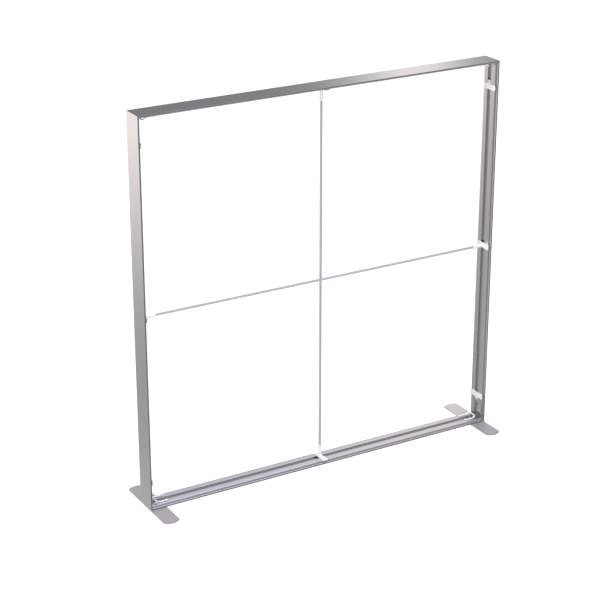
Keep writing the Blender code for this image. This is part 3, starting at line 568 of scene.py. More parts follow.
def side_matrix(side):
    """Axes of one side: x from front to back, y along it, z from the outer face into the opening."""
    corner, inward, _ = SIDES[side]
    depth_axis = Vector((0, 1, 0))
    turn = Matrix((depth_axis, inward.cross(depth_axis), inward)).transposed().to_4x4()
    return Matrix.Translation(corner) @ turn


def side_length(side):
    return SIDES[side][2]


def from_corner(side, end, distance):
    """Place along a side, from the corner at its start or its end."""
    return distance if end == "start" else side_length(side) - distance


def on_side(side, along=0.0, depth=0.0, height=0.0, turn=0.0):
    """Placement in the axes of one side."""
    return side_matrix(side) @ Matrix.Translation((depth, along, height)) @ Matrix.Rotation(turn, 4, "Z")


def arc(centre_x, centre_y, radius, start, end, steps=6, rise=None):
    """Points of an arc between two angles, flattened where it has another rise."""
    height = radius if rise is None else rise
    points = []
    for step in range(steps + 1):
        angle = math.radians(start + (end - start) * step / steps)
        points.append((centre_x + radius * math.cos(angle), centre_y + height * math.sin(angle)))
    return points


def new_object(name, mesh):
    item = bpy.data.objects.new(name, mesh)
    bpy.context.scene.collection.objects.link(item)
    return item


def baked(item):
    """Mesh of an object as its modifiers leave it; the object is removed."""
    bpy.context.view_layer.update()
    graph = bpy.context.evaluated_depsgraph_get()
    mesh = bpy.data.meshes.new_from_object(item.evaluated_get(graph))
    bpy.data.objects.remove(item, do_unlink=True)
    return mesh


def slab(loops, thickness, low=None):
    """Flat outline, with holes where more than one loop is given, along z."""
    curve = bpy.data.curves.new("outline", "CURVE")
    curve.dimensions = "2D"
    curve.fill_mode = "BOTH"
    curve.extrude = thickness / 2
    for loop in loops:
        spline = curve.splines.new("POLY")
        spline.points.add(len(loop) - 1)
        for point, (x, y) in zip(spline.points, loop):
            point.co = (x, y, 0, 1)
        spline.use_cyclic_u = True
    mesh = baked(new_object("outline", curve))
    shape = bmesh.new()
    shape.from_mesh(mesh)
    bmesh.ops.remove_doubles(shape, verts=shape.verts, dist=MERGE_DISTANCE)
    bmesh.ops.dissolve_limit(shape, angle_limit=FLAT_ANGLE, verts=shape.verts, edges=shape.edges)
    shape.to_mesh(mesh)
    shape.free()
    if low is not None:
        mesh.transform(Matrix.Translation((0, 0, low + thickness / 2)))
    return mesh


def as_mesh(shape, name):
    mesh = bpy.data.meshes.new(name)
    shape.to_mesh(mesh)
    shape.free()
    return mesh


def box(low, high):
    shape = bmesh.new()
    bmesh.ops.create_cube(shape, size=1.0)
    bmesh.ops.scale(shape, vec=Vector(high) - Vector(low), verts=shape.verts)
    bmesh.ops.translate(shape, vec=(Vector(high) + Vector(low)) / 2, verts=shape.verts)
    return as_mesh(shape, "box")


def cone(diameter, bottom, top, steps=SMALL_ROUND_STEPS, top_diameter=None):
    """Round bar or cone along z."""
    shape = bmesh.new()
    upper = diameter if top_diameter is None else top_diameter
    bmesh.ops.create_cone(
        shape, cap_ends=True, segments=steps,
        radius1=diameter / 2, radius2=upper / 2, depth=top - bottom,
    )
    bmesh.ops.translate(shape, vec=(0, 0, (top + bottom) / 2), verts=shape.verts)
    return as_mesh(shape, "round")


def moved(mesh, matrix):
    mesh.transform(matrix)
    return mesh


def shifted(mesh, x, y, z):
    return moved(mesh, Matrix.Translation((x, y, z)))


def turned(profile, steps=ROUND_STEPS):
    """Body turned about z from a closed outline of (radius, height)."""
    shape = bmesh.new()
    points = [shape.verts.new((x, 0, z)) for x, z in profile]
    for number, point in enumerate(points):
        shape.edges.new((point, points[(number + 1) % len(points)]))
    item = new_object("turned", as_mesh(shape, "turned"))
    screw = item.modifiers.new("turn", "SCREW")
    screw.axis = "Z"
    screw.steps = steps
    screw.render_steps = steps
    screw.use_merge_vertices = True
    screw.merge_threshold = MERGE_DISTANCE
    return outward(baked(item))


def solid_turned(side, steps=ROUND_STEPS):
    """Solid body turned about z from the outline of its side, given as (radius, height)."""
    return turned([(AXIS_RADIUS, side[0][1]), *side, (AXIS_RADIUS, side[-1][1])], steps)


def outward(mesh):
    """Faces turned to look outwards."""
    shape = bmesh.new()
    shape.from_mesh(mesh)
    bmesh.ops.recalc_face_normals(shape, faces=shape.faces)
    shape.to_mesh(mesh)
    shape.free()
    return mesh


def joined_meshes(meshes):
    """Several closed bodies in one mesh."""
    shape = bmesh.new()
    for mesh in meshes:
        shape.from_mesh(mesh)
    return as_mesh(shape, "joined")


def combined(base, added=(), removed=()):
    """Base mesh with others united to it and cut out of it."""
    item = new_object("base", base)
    tools = []
    for operation, meshes in (("UNION", added), ("DIFFERENCE", removed)):
        for mesh in meshes:
            tool = new_object("tool", mesh)
            tools.append(tool)
            modifier = item.modifiers.new("cut", "BOOLEAN")
            modifier.operation = operation
            modifier.object = tool
    result = baked(item)
    for tool in tools:
        bpy.data.objects.remove(tool, do_unlink=True)
    return result


def rounded(mesh, width, segments=2, angle=40):
    """Edges rounded off, flat faces kept flat in their shading."""
    item = new_object("rounded", mesh)
    bevel = item.modifiers.new("round", "BEVEL")
    bevel.width = width
    bevel.segments = segments
    bevel.limit_method = "ANGLE"
    bevel.angle_limit = math.radians(angle)
    bevel.use_clamp_overlap = True
    return baked(item)


def finished(mesh, sharp=35):
    """Smooth shading that keeps large flat faces flat."""
    mesh.shade_smooth()
    mesh.set_sharp_from_angle(angle=math.radians(sharp))
    item = new_object("finished", mesh)
    weighted = item.modifiers.new("weight", "WEIGHTED_NORMAL")
    weighted.keep_sharp = True
    weighted.weight = FLAT_FACE_WEIGHT
    return baked(item)


def piece(node, mesh, materials, matrix=None, body="frame"):
    """A fine piece that takes a node's place and rides on its body."""
    item = new_object(f"fine_{node}", mesh)
    mesh.materials.clear()
    for material in materials:
        mesh.materials.append(material)
    if matrix is not None:
        item.matrix_world = matrix
    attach(item, body)
    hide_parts(node)
    return item


# Profiles

def nose_outline():
    """Ledge's front part: a shallow crown, a small round and the upright riser down to the lip."""
    slope = math.radians(NOSE_SLOPE)
    edge = LEDGE_EDGE - NOSE_SETBACK
    reach = NOSE_DEPTH - NOSE_SETBACK - NOSE_ROUND * (1 - math.sin(slope))
    crown = reach / math.sin(slope)
    points = arc(LEDGE_EDGE - NOSE_DEPTH, LEDGE_HEIGHT - crown, crown, 90, 90 - NOSE_SLOPE, steps=8)
    shoulder = points[-1][1] - NOSE_ROUND * math.cos(slope)
    points += arc(edge - NOSE_ROUND, shoulder, NOSE_ROUND, 90 - NOSE_SLOPE, 0)[1:]
    return points + [(LEDGE_EDGE, LIP_HEIGHT)]


def section_outline():
    """Outer outline of the section: x from front to back, y from the outer face inwards."""
    points = []
    pitch = 2 * CHANNEL_EDGE / FLOOR_RIB_COUNT
    rib_top = CHANNEL_FLOOR + FLOOR_RIB_HEIGHT
    half_rib = FLOOR_RIB_WIDTH / 2
    rib_side = [
        (half_rib * FLOOR_RIB_FOOT_SHARE, CHANNEL_FLOOR),
        (half_rib * FLOOR_RIB_SHOULDER_SHARE, rib_top - half_rib * FLOOR_RIB_DROP_SHARE),
        (half_rib * FLOOR_RIB_CROWN_SHARE, rib_top),
    ]
    for rib in range(FLOOR_RIB_COUNT):
        middle = -CHANNEL_EDGE + (rib + 0.5) * pitch
        points += [(middle - reach, height) for reach, height in rib_side]
        points += [(middle + reach, height) for reach, height in reversed(rib_side)]
    half = [(CHANNEL_EDGE, CHANNEL_FLOOR)]
    inner = CHANNEL_EDGE_RADIUS
    half += arc(CHANNEL_EDGE + inner, LEDGE_HEIGHT - inner, inner, 180, 90, steps=5)
    half += nose_outline()
    lip_start = HALF_DEPTH - LIP_ROUND
    half += arc(lip_start, LIP_HEIGHT - LIP_CROWN, LIP_ROUND, 90, 0, steps=10, rise=LIP_CROWN)
    slot_top = EDGE_WALL + FABRIC_SLOT_WIDTH
    slot_end = HALF_DEPTH - FABRIC_SLOT_DEPTH
    half += [(HALF_DEPTH, slot_top), (slot_end, slot_top), (slot_end, EDGE_WALL), (HALF_DEPTH, EDGE_WALL)]
    half += arc(HALF_DEPTH - OUTER_ROUND, OUTER_ROUND, OUTER_ROUND, 0, -90, steps=3)
    points += half
    points += [(-x, y) for x, y in reversed(half)]
    return points


def chamber_outline(sign):
    near = sign * (CHANNEL_EDGE + CHAMBER_WALL)
    far = sign * CHAMBER_EDGE
    high = LEDGE_HEIGHT - CHAMBER_WALL
    return [(near, EDGE_WALL), (far, EDGE_WALL), (far, high), (near, high)]


def ledge_holes(side, distance, offset, diameter):
    """Holes in both ledges near both ends of one side."""
    holes = []
    low = LEDGE_HEIGHT - CHAMBER_WALL - CUT_OVERRUN
    for end in ("start", "end"):
        along = from_corner(side, end, distance) - side_length(side) / 2
        for sign in ROWS.values():
            hole = cone(diameter, low, LEDGE_HEIGHT + CUT_OVERRUN)
            holes.append(shifted(hole, sign * offset, along, 0))
    return holes


def profile_holes(side):
    """What is drilled into one side, in its own axes from its middle."""
    half = side_length(side) / 2
    if side in ("left", "right"):
        holes = ledge_holes(side, BRACE_SCREW_FROM_CORNER, BRACE_SCREW_OFFSET, BRACE_SCREW_HOLE)
        along = LOCK_HEIGHT - half if side == "left" else half - LOCK_HEIGHT
        slope = (LOCK_SINK_DIAMETER - LOCK_HOLE) / LOCK_SINK_DEPTH
        mouth = LOCK_SINK_DIAMETER + slope * CUT_OVERRUN
        sink = cone(mouth, -CUT_OVERRUN, LOCK_SINK_DEPTH, ROUND_STEPS, LOCK_HOLE)
        holes.append(shifted(sink, 0, along, 0))
        bore = cone(LOCK_HOLE, LOCK_SINK_DEPTH / 2, CHANNEL_FLOOR + CUT_OVERRUN, ROUND_STEPS)
        holes.append(shifted(bore, 0, along, 0))
        return holes
    holes = ledge_holes(side, BAIL_PIVOT_FROM_CORNER, STUD_OFFSET, STUD_HOLE)
    if side == "bottom":
        for distance in FOOT_SCREWS_FROM_SIDE:
            for end in ("start", "end"):
                hole = cone(FOOT_SCREW_HOLE, -CUT_OVERRUN, CHANNEL_FLOOR + CUT_OVERRUN)
                holes.append(shifted(hole, 0, from_corner(side, end, distance) - half, 0))
    return holes


def make_profiles():
    sides = {"left": "left_post", "right": "right_post", "top": "top_rail", "bottom": "bottom_rail"}
    for side, node in sides.items():
        gap = 0.0 if side in ("left", "right") else MITRE_GAP
        loops = [section_outline(), chamber_outline(-1), chamber_outline(1)]
        mesh = slab(loops, side_length(side) - 2 * gap)
        # Mitres both ends
        for vertex in mesh.vertices:
            vertex.co.z -= math.copysign(vertex.co.y, vertex.co.z)
        moved(mesh, STAND_UP)
        mesh = finished(combined(mesh, removed=profile_holes(side)), sharp=30)
        where = on_side(side, along=side_length(side) / 2)
        piece(node, mesh, [PROFILE_ALUMINIUM], where)


# Bails and hinges

def bail_path(sign):
    """Points of the bent wire in axes at its pivot."""
    bend = -sign * (BAIL_PIVOT_FROM_CORNER - BAIL_BEND_FROM_CORNER)
    closed = -sign * (BAIL_PIVOT_FROM_CORNER - BAIL_END_FROM_CORNER)
    arm = BAIL_ARM_OFFSET
    corners = [
        (-arm, 0, 0), (-arm, bend, 0), (-arm, closed, BAIL_END_RISE),
        (arm, closed, BAIL_END_RISE), (arm, bend, 0), (arm, 0, 0),
    ]
    radii = [BAIL_BEND_RADIUS, BAIL_END_RADIUS, BAIL_END_RADIUS, BAIL_BEND_RADIUS]
    points = [Vector(corners[0])]
    for number in range(1, len(corners) - 1):
        corner = Vector(corners[number])
        back = (Vector(corners[number - 1]) - corner).normalized() * radii[number - 1]
        ahead = (Vector(corners[number + 1]) - corner).normalized() * radii[number - 1]
        for step in range(BAIL_BEND_STEPS + 1):
            share = step / BAIL_BEND_STEPS
            points.append((corner + back * (1 - share)).lerp(corner + ahead * share, share))
    points.append(Vector(corners[-1]))
    return points


def bail_mesh(sign):
    """Bent wire with a bored eye at each end."""
    curve = bpy.data.curves.new("wire", "CURVE")
    curve.dimensions = "3D"
    curve.bevel_depth = BAIL_WIRE / 2
    curve.bevel_resolution = BAIL_WIRE_STEPS
    curve.use_fill_caps = True
    path = bail_path(sign)
    spline = curve.splines.new("POLY")
    spline.points.add(len(path) - 1)
    for point, where in zip(spline.points, path):
        point.co = (*where, 1)
    wire = baked(new_object("wire", curve))
    half = BAIL_EYE_WIDTH / 2
    straight = half * BAIL_EYE_STRAIGHT_SHARE
    outer = BAIL_EYE_DIAMETER / 2
    outline = [
        (outer - BAIL_EYE_CHAMFER, -half), (outer, -straight),
        (outer, straight), (outer - BAIL_EYE_CHAMFER, half),
        (BAIL_BORE / 2, half), (BAIL_BORE / 2, -half),
    ]
    eyes = []
    bores = []
    for row in ROWS.values():
        where = Matrix.Translation((row * BAIL_ARM_OFFSET, 0, 0)) @ Matrix.Rotation(math.pi / 2, 4, "Y")
        eyes.append(moved(turned(outline, SMALL_ROUND_STEPS), where))
        bores.append(moved(cone(BAIL_BORE, -half - CUT_OVERRUN, half + CUT_OVERRUN), where))
    wire = combined(wire, removed=bores)
    return finished(joined_meshes([wire] + eyes), sharp=50)


def bail_hinge_mesh():
    """Ear on a shank with a journal that reaches +x through the bail."""
    half = BAIL_EYE_DIAMETER / 2
    outline = [(-half, CLIP_SEAT), (half, CLIP_SEAT), (half, BAIL_AXIS_HEIGHT)]
    outline += arc(0, BAIL_AXIS_HEIGHT, half, 0, 180, steps=16)[1:]
    ear = rounded(moved(slab([outline], STUD_THICKNESS), STAND_ACROSS), STUD_ROUND, angle=50)
    shank = cone(STUD_SHANK_DIAMETER, LEDGE_HEIGHT - STUD_SHANK_DEPTH, CLIP_SEAT + SEAT_GAP)
    reach = BAIL_ARM_OFFSET + BAIL_EYE_WIDTH / 2 - STUD_OFFSET
    radius = BAIL_JOURNAL_DIAMETER / 2
    side = [(radius, 0.0), (radius, reach - SEAT_GAP), (radius - SEAT_GAP, reach)]
    where = Matrix.Translation((0, 0, BAIL_AXIS_HEIGHT)) @ Matrix.Rotation(math.pi / 2, 4, "Y")
    journal = moved(solid_turned(side, SMALL_ROUND_STEPS), where)
    return finished(joined_meshes([ear, shank, journal]), sharp=40)


def make_bails():
    hinge = bail_hinge_mesh()
    bails = {"start": bail_mesh(1), "end": bail_mesh(-1)}
    for corner, (rail, end, _, _) in CORNERS.items():
        along = from_corner(rail, end, BAIL_PIVOT_FROM_CORNER)
        where = on_side(rail, along, 0.0, BAIL_AXIS_HEIGHT)
        node = f"corner_bail_{corner}"
        piece(node, bails[end].copy(), [SMOOTH_WHITE], where, node)
        for row, sign in ROWS.items():
            turn = 0.0 if sign > 0 else math.pi
            where = on_side(rail, along, sign * STUD_OFFSET, 0.0, turn)
            node = f"bail_hinge_{corner}_{row}"
            piece(node, hinge.copy(), [WHITE_PLASTIC], where, "frame")


# Clips

def clip_outline():
    half = CLIP_WIDTH / 2
    radius = CLIP_CORNER_RADIUS
    front = CLIP_FRONT + radius
    back = CLIP_BACK - radius
    points = arc(front, -half + radius, radius, 180, 270) + arc(back, -half + radius, radius, 270, 360)
    return points + arc(back, half - radius, radius, 0, 90) + arc(front, half - radius, radius, 90, 180)


def tongue_mesh():
    """Tapered tongue with a rounded tip that leads down into the mouth of the channel."""
    start = CLIP_WIDTH / 2 - CUT_OVERRUN
    end = CLIP_WIDTH / 2 + CLIP_TONGUE_LENGTH
    root = CLIP_TONGUE_ROOT / 2
    tip = CLIP_TONGUE_TIP / 2
    radius = CLIP_CORNER_RADIUS
    outline = [(-root, start), (root, start)]
    outline += arc(tip - radius, end - radius, radius, 10, 90, steps=4)
    outline += arc(-tip + radius, end - radius, radius, 90, 170, steps=4)
    mesh = slab([outline], CLIP_TONGUE_THICKNESS)
    middle = (CLIP_SEAT + CLIP_TOP) / 2
    for vertex in mesh.vertices:
        vertex.co.z += middle - CLIP_TONGUE_DIP * (vertex.co.y - start) / (end - start)
    return mesh


def clip_mesh(with_tongue=False, bar_depth=None):
    """Moulded clip: rounded plate, raised front block, beaded recess, gripping legs and tongue or spigot."""
    half = CLIP_WIDTH / 2
    plate = slab([clip_outline()], CLIP_TOP - CLIP_SEAT, CLIP_SEAT)
    inset = CLIP_ROUND
    block = box(
        (CLIP_FRONT + inset, -half + inset, CLIP_SEAT + CLIP_RECESS),
        (CLIP_FRONT + CLIP_BLOCK_LENGTH, half - inset, CLIP_TOP + CLIP_BLOCK_RISE),
    )
    recess_start = CLIP_FRONT + CLIP_BLOCK_LENGTH + CLIP_RIM
    recess_end = CLIP_BACK - CLIP_RIM
    recess = box(
        (recess_start, -half + CLIP_RIM, CLIP_TOP - CLIP_RECESS),
        (recess_end, half - CLIP_RIM, CLIP_TOP + CUT_OVERRUN),
    )
    added = [block]
    wall = CHANNEL_EDGE - SEAT_GAP
    for sign in ROWS.values():
        near, far = sorted((sign * (wall - CLIP_LEG_THICKNESS), sign * wall))
        low = (near, -CLIP_LEG_LENGTH / 2, CLIP_SEAT - CLIP_LEG_DEPTH)
        added.append(box(low, (far, CLIP_LEG_LENGTH / 2, (CLIP_SEAT + CLIP_TOP) / 2)))
    if with_tongue:
        added.append(tongue_mesh())
    body = rounded(combined(plate, added, [recess]), CLIP_ROUND, angle=50)
    beads = []
    pitch = (recess_end - recess_start) / CLIP_BEAD_COUNT
    for number in range(CLIP_BEAD_COUNT):
        middle = recess_start + (number + 0.5) * pitch
        if bar_depth is not None and abs(middle - bar_depth) < SLEEVE_BOSS_DIAMETER / 2:
            continue
        bead = cone(CLIP_BEAD_DIAMETER, -half + CLIP_RIM, half - CLIP_RIM, CLIP_BEAD_SIDES)
        where = Matrix.Translation((middle, 0, CLIP_TOP - CLIP_RECESS))
        beads.append(moved(bead, where @ Matrix.Rotation(math.pi / 2, 4, "X")))
    bodies = [body] + beads
    if bar_depth is not None:
        low = CLIP_TOP - CLIP_RECESS * 2
        edge = half - CLIP_RIM
        seat = turned([(edge, low), (edge, CLIP_TOP), (SEAT_GAP, CLIP_TOP), (SEAT_GAP, low)])
        spigot = cone(BAR_DIAMETER, CLIP_TOP - CLIP_RECESS, SLEEVE_SEAT + SPIGOT_LENGTH)
        bodies += [shifted(seat, bar_depth, 0, 0), shifted(spigot, bar_depth, 0, 0)]
    return finished(joined_meshes(bodies), sharp=40)


def clip_piece(node, mesh, where, body):
    """A clip on its body: beaded plate, and a smoother raised block at its front."""
    clip = piece(node, mesh, [WHITE_PLASTIC, SMOOTH_WHITE], where, body)
    for face in clip.data.polygons:
        if face.center.x < CLIP_FRONT + CLIP_BLOCK_LENGTH:
            face.material_index = 1


def mirrored(mesh):
    copy = mesh.copy()
    copy.transform(Matrix.Scale(-1, 4, (0, 1, 0)))
    copy.flip_normals()
    return copy


def make_end_clips():
    forward = clip_mesh(with_tongue=True)
    meshes = {"end": forward, "start": mirrored(forward)}
    for side, ends in (("left", ("lower", "upper")), ("right", ("upper", "lower"))):
        for end, level in zip(("start", "end"), ends):
            node = f"end_clip_{side}_{level}"
            where = on_side(side, from_corner(side, end, CLIP_FROM_END))
            clip_piece(node, meshes[end].copy(), where, node)


# Bars and sleeves

# The left side runs upwards and the right side downwards
BARS = {
    "crossbar": (
        "crossbar_set", -BAR_OFFSET,
        (
            ("left", FRAME_HEIGHT / 2 + CROSSBAR_ABOVE_MIDDLE),
            ("right", FRAME_HEIGHT / 2 - CROSSBAR_ABOVE_MIDDLE),
        ),
    ),
    "upright_bar": ("upright_bar_set", BAR_OFFSET, (("bottom", FRAME_WIDTH / 2), ("top", FRAME_WIDTH / 2))),
}


def sleeve_mesh():
    """Turned sleeve: flared foot, slim neck and a rolled rim round the bar."""
    outer = SLEEVE_DIAMETER / 2
    boss = SLEEVE_BOSS_DIAMETER / 2
    bore = SLEEVE_BORE / 2
    foot = SLEEVE_SEAT
    top = SLEEVE_MOUTH
    neck = outer * SLEEVE_NECK_SHARE
    shoulder = foot + SLEEVE_BOSS_HEIGHT
    flare_top = shoulder + SLEEVE_BOSS_TAPER
    outline = [(bore, foot), (boss - SLEEVE_EDGE, foot), (boss, foot + SLEEVE_EDGE)]
    outline += [(boss, shoulder - SLEEVE_RIM_ROUND), (boss - SLEEVE_SHOULDER_STEP, shoulder)]
    for step in range(1, SLEEVE_FLARE_STEPS):
        share = step / SLEEVE_FLARE_STEPS
        radius = boss + (neck - boss) * math.sin(share * math.pi / 2)
        outline.append((radius, shoulder + (flare_top - shoulder) * share))
    outline += [(neck, flare_top + SLEEVE_NECK_LOW), (neck, top - SLEEVE_NECK_HIGH)]
    rim_start = neck + SLEEVE_RIM_STEP
    outline += arc(rim_start, top - SLEEVE_RIM_START, outer - rim_start, -90, 0, steps=3)[1:]
    outline += [(outer, top - SLEEVE_RIM_ROUND), (outer - SLEEVE_RIM_ROUND, top)]
    outline += [(bore + SLEEVE_EDGE, top), (bore, top - SLEEVE_EDGE)]
    return finished(turned(outline), sharp=40)


def rod_mesh():
    """Rod along y, as the drawing lines run along y."""
    half = BAR_LENGTH / 2
    radius = BAR_DIAMETER / 2
    side = [
        (radius - BAR_CHAMFER, -half), (radius, -half + BAR_CHAMFER),
        (radius, half - BAR_CHAMFER), (radius - BAR_CHAMFER, half),
    ]
    return moved(finished(solid_turned(side), sharp=40), Matrix.Rotation(-math.pi / 2, 4, "X"))


def make_bars():
    sleeve = sleeve_mesh()
    rod = rod_mesh()
    for name, (body, depth, ends) in BARS.items():
        clip = clip_mesh(bar_depth=depth)
        for side, along in ends:
            clip_piece(f"{name}_clip_{side}", clip.copy(), on_side(side, along), body)
            where = on_side(side, along, depth)
            piece(f"{name}_sleeve_{side}", sleeve.copy(), [WHITE_PLASTIC], where, body)
        where = on_side(*ends[0], depth, FRAME_WIDTH / 2) @ Matrix.Rotation(math.pi / 2, 4, "X")
        piece(name, rod.copy(), [ROD_ALUMINIUM], where, body)


# Feet and fasteners

def foot_outline():
    """Straight sides and shallow round ends."""
    half = FOOT_WIDTH / 2
    straight = FOOT_LENGTH / 2 - FOOT_END_BULGE
    radius = (half ** 2 + FOOT_END_BULGE ** 2) / (2 * FOOT_END_BULGE)
    centre = straight + FOOT_END_BULGE - radius
    sweep = math.degrees(math.asin(half / radius))
    back = arc(0, centre, radius, 90 - sweep, 90 + sweep, steps=28)
    return back + [(-x, -y) for x, y in back]


def foot_plate_mesh(sign):
    plate = rounded(slab([foot_outline()], FOOT_THICKNESS, 0.0), FOOT_ROUND, segments=3, angle=60)
    removed = []
    for distance in FOOT_SCREWS_FROM_SIDE:
        hole = cone(FOOT_SCREW_HOLE, -CUT_OVERRUN, FOOT_THICKNESS + CUT_OVERRUN)
        removed.append(shifted(hole, sign * (FOOT_WIDTH / 2 - distance), 0, 0))
    return finished(combined(plate, removed=removed), sharp=40)


def bracket_mesh(sign):
    """Bent L-shaped bracket with rounded edges, from the outer corner in world axes."""
    low = BRACKET_SEAT
    high = BRACKET_SEAT + BRACKET_THICKNESS
    bend = BRACKET_BEND
    inner = bend / 2
    outline = arc(low + bend, low + bend, bend, 180, 270, steps=8)
    outline += [(BRACKET_TOE, low), (BRACKET_TOE, high)]
    outline += arc(high + inner, high + inner, inner, 270, 180)
    outline += [(high, BRACKET_UPRIGHT), (low, BRACKET_UPRIGHT)]
    turn = STAND_UP if sign < 0 else Matrix.Diagonal((-1, -1, 1, 1)) @ STAND_UP
    body = rounded(moved(slab([outline], BRACKET_WIDTH), turn), BRACKET_ROUND, angle=50)
    bolt = cone(LOCK_HOLE, low - CUT_OVERRUN, high + CUT_OVERRUN, ROUND_STEPS)
    where = Matrix.Translation((0, 0, LOCK_HEIGHT)) @ Matrix.Rotation(-sign * math.pi / 2, 4, "Y")
    removed = [moved(bolt, where)]
    for distance in FOOT_SCREWS_FROM_SIDE:
        bore = cone(FOOT_SCREW_HOLE, low - CUT_OVERRUN, high + CUT_OVERRUN)
        removed.append(shifted(bore, -sign * distance, 0, 0))
    return finished(combined(body, removed=removed), sharp=40)


def lock_bolt_mesh():
    """Countersunk bolt with a hexagon socket, along z from the post's outer face."""
    narrow = LOCK_HOLE - 2 * SEAT_GAP
    wide = LOCK_SINK_DIAMETER - 2 * SEAT_GAP
    rate = (LOCK_SINK_DIAMETER - LOCK_HOLE) / LOCK_SINK_DEPTH
    head_radius = (wide - rate * LOCK_HEAD_SINK) / 2
    shank = LOCK_SHANK / 2
    top = LOCK_HEAD_SINK
    side = [(head_radius - inward, top + down) for inward, down in LOCK_HEAD_EDGE]
    side += [
        (narrow / 2, LOCK_SINK_DEPTH), (shank, LOCK_SINK_DEPTH + LOCK_NECK),
        (shank, LOCK_END - LOCK_END_CHAMFER), (shank - LOCK_END_CHAMFER, LOCK_END),
    ]
    socket = cone(LOCK_SOCKET, top - CUT_OVERRUN, top + LOCK_SOCKET_DEPTH, SOCKET_SIDES)
    return finished(combined(solid_turned(side), removed=[socket]), sharp=30)


def foot_screw_mesh():
    """Cap screw from above through the bracket's toe and the rail into the plate."""
    seat = FRAME_BASE + BRACKET_SEAT + BRACKET_THICKNESS + SEAT_GAP
    top = seat + FOOT_SCREW_HEAD_HEIGHT
    head = FOOT_SCREW_HEAD / 2
    shank = FOOT_SCREW_DIAMETER / 2
    low = FOOT_SCREW_END_SINK
    edge = FOOT_SCREW_EDGE
    side = [(shank - edge, low), (shank, low + edge), (shank, seat), (head, seat)]
    side += arc(head - edge, top - edge, edge, 0, 90, steps=4)
    socket = cone(FOOT_SCREW_SOCKET, top - FOOT_SCREW_SOCKET_DEPTH, top + CUT_OVERRUN, SOCKET_SIDES)
    return finished(combined(solid_turned(side, SMALL_ROUND_STEPS), removed=[socket]))


def brace_screw_mesh():
    low = LEDGE_HEIGHT - BRACE_SCREW_SINK - BRACE_SCREW_LENGTH
    top = LEDGE_HEIGHT - BRACE_SCREW_SINK
    radius = BRACE_SCREW_DIAMETER / 2
    side = [
        (radius - BRACE_SCREW_END_CHAMFER, low), (radius, low + BRACE_SCREW_END_CHAMFER),
        (radius, top - BRACE_SCREW_TOP_CHAMFER), (radius - BRACE_SCREW_TOP_CHAMFER, top),
    ]
    socket = cone(BRACE_SCREW_SOCKET, top - BRACE_SCREW_SOCKET_DEPTH, top + CUT_OVERRUN, SOCKET_SIDES)
    return finished(combined(solid_turned(side, SMALL_ROUND_STEPS), removed=[socket]))


def make_feet():
    for label, sign in FOOT_SIDES.items():
        middle = sign * (FRAME_WIDTH - FOOT_WIDTH) / 2
        where = Matrix.Translation((middle, 0, 0))
        piece(f"foot_plate_{label}", foot_plate_mesh(sign), [FOOT_COAT], where)
        where = Matrix.Translation((sign * FRAME_WIDTH / 2, 0, FRAME_BASE))
        bracket = bracket_mesh(sign)
        piece(f"foot_bracket_{label}", bracket, [BRACKET_ALUMINIUM], where)
        along = LOCK_HEIGHT if label == "left" else FRAME_HEIGHT - LOCK_HEIGHT
        where = on_side(label, along)
        finishes = [BRIGHT_PLATE, BLACK_STEEL_AND_PAINTED_SHADE]
        bolt = piece(f"lock_bolt_{label}", lock_bolt_mesh(), finishes, where)
        # Bright head; the shank and the socket floor are painted black, painted shade for the dark inside of
        # the bolt hole and the socket
        for face in bolt.data.polygons:
            if face.center.z > LOCK_SINK_DEPTH:
                face.material_index = 1
    screw = foot_screw_mesh()
    for label, sign in FOOT_SIDES.items():
        for number, distance in enumerate(FOOT_SCREWS_FROM_SIDE, 1):
            where = Matrix.Translation((sign * (FRAME_WIDTH / 2 - distance), 0, 0))
            piece(f"foot_screw_{label}_{number}", screw.copy(), [BLACK_STEEL_AND_PAINTED_SHADE], where)


def make_brace_screws():
    screw = brace_screw_mesh()
    for corner, (_, _, post, end) in CORNERS.items():
        for row, sign in ROWS.items():
            along = from_corner(post, end, BRACE_SCREW_FROM_CORNER)
            where = on_side(post, along, sign * BRACE_SCREW_OFFSET)
            piece(f"brace_screw_{corner}_{row}", screw.copy(), [BLACK_STEEL_AND_PAINTED_SHADE], where)


def finish_braces():
    """The solid braces stay and only get their finish."""
    for corner in CORNERS:
        for row in ROWS:
            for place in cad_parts[f"corner_brace_{corner}_{row}"].material_slots:
                place.material = BRACE_ALUMINIUM


# Studio

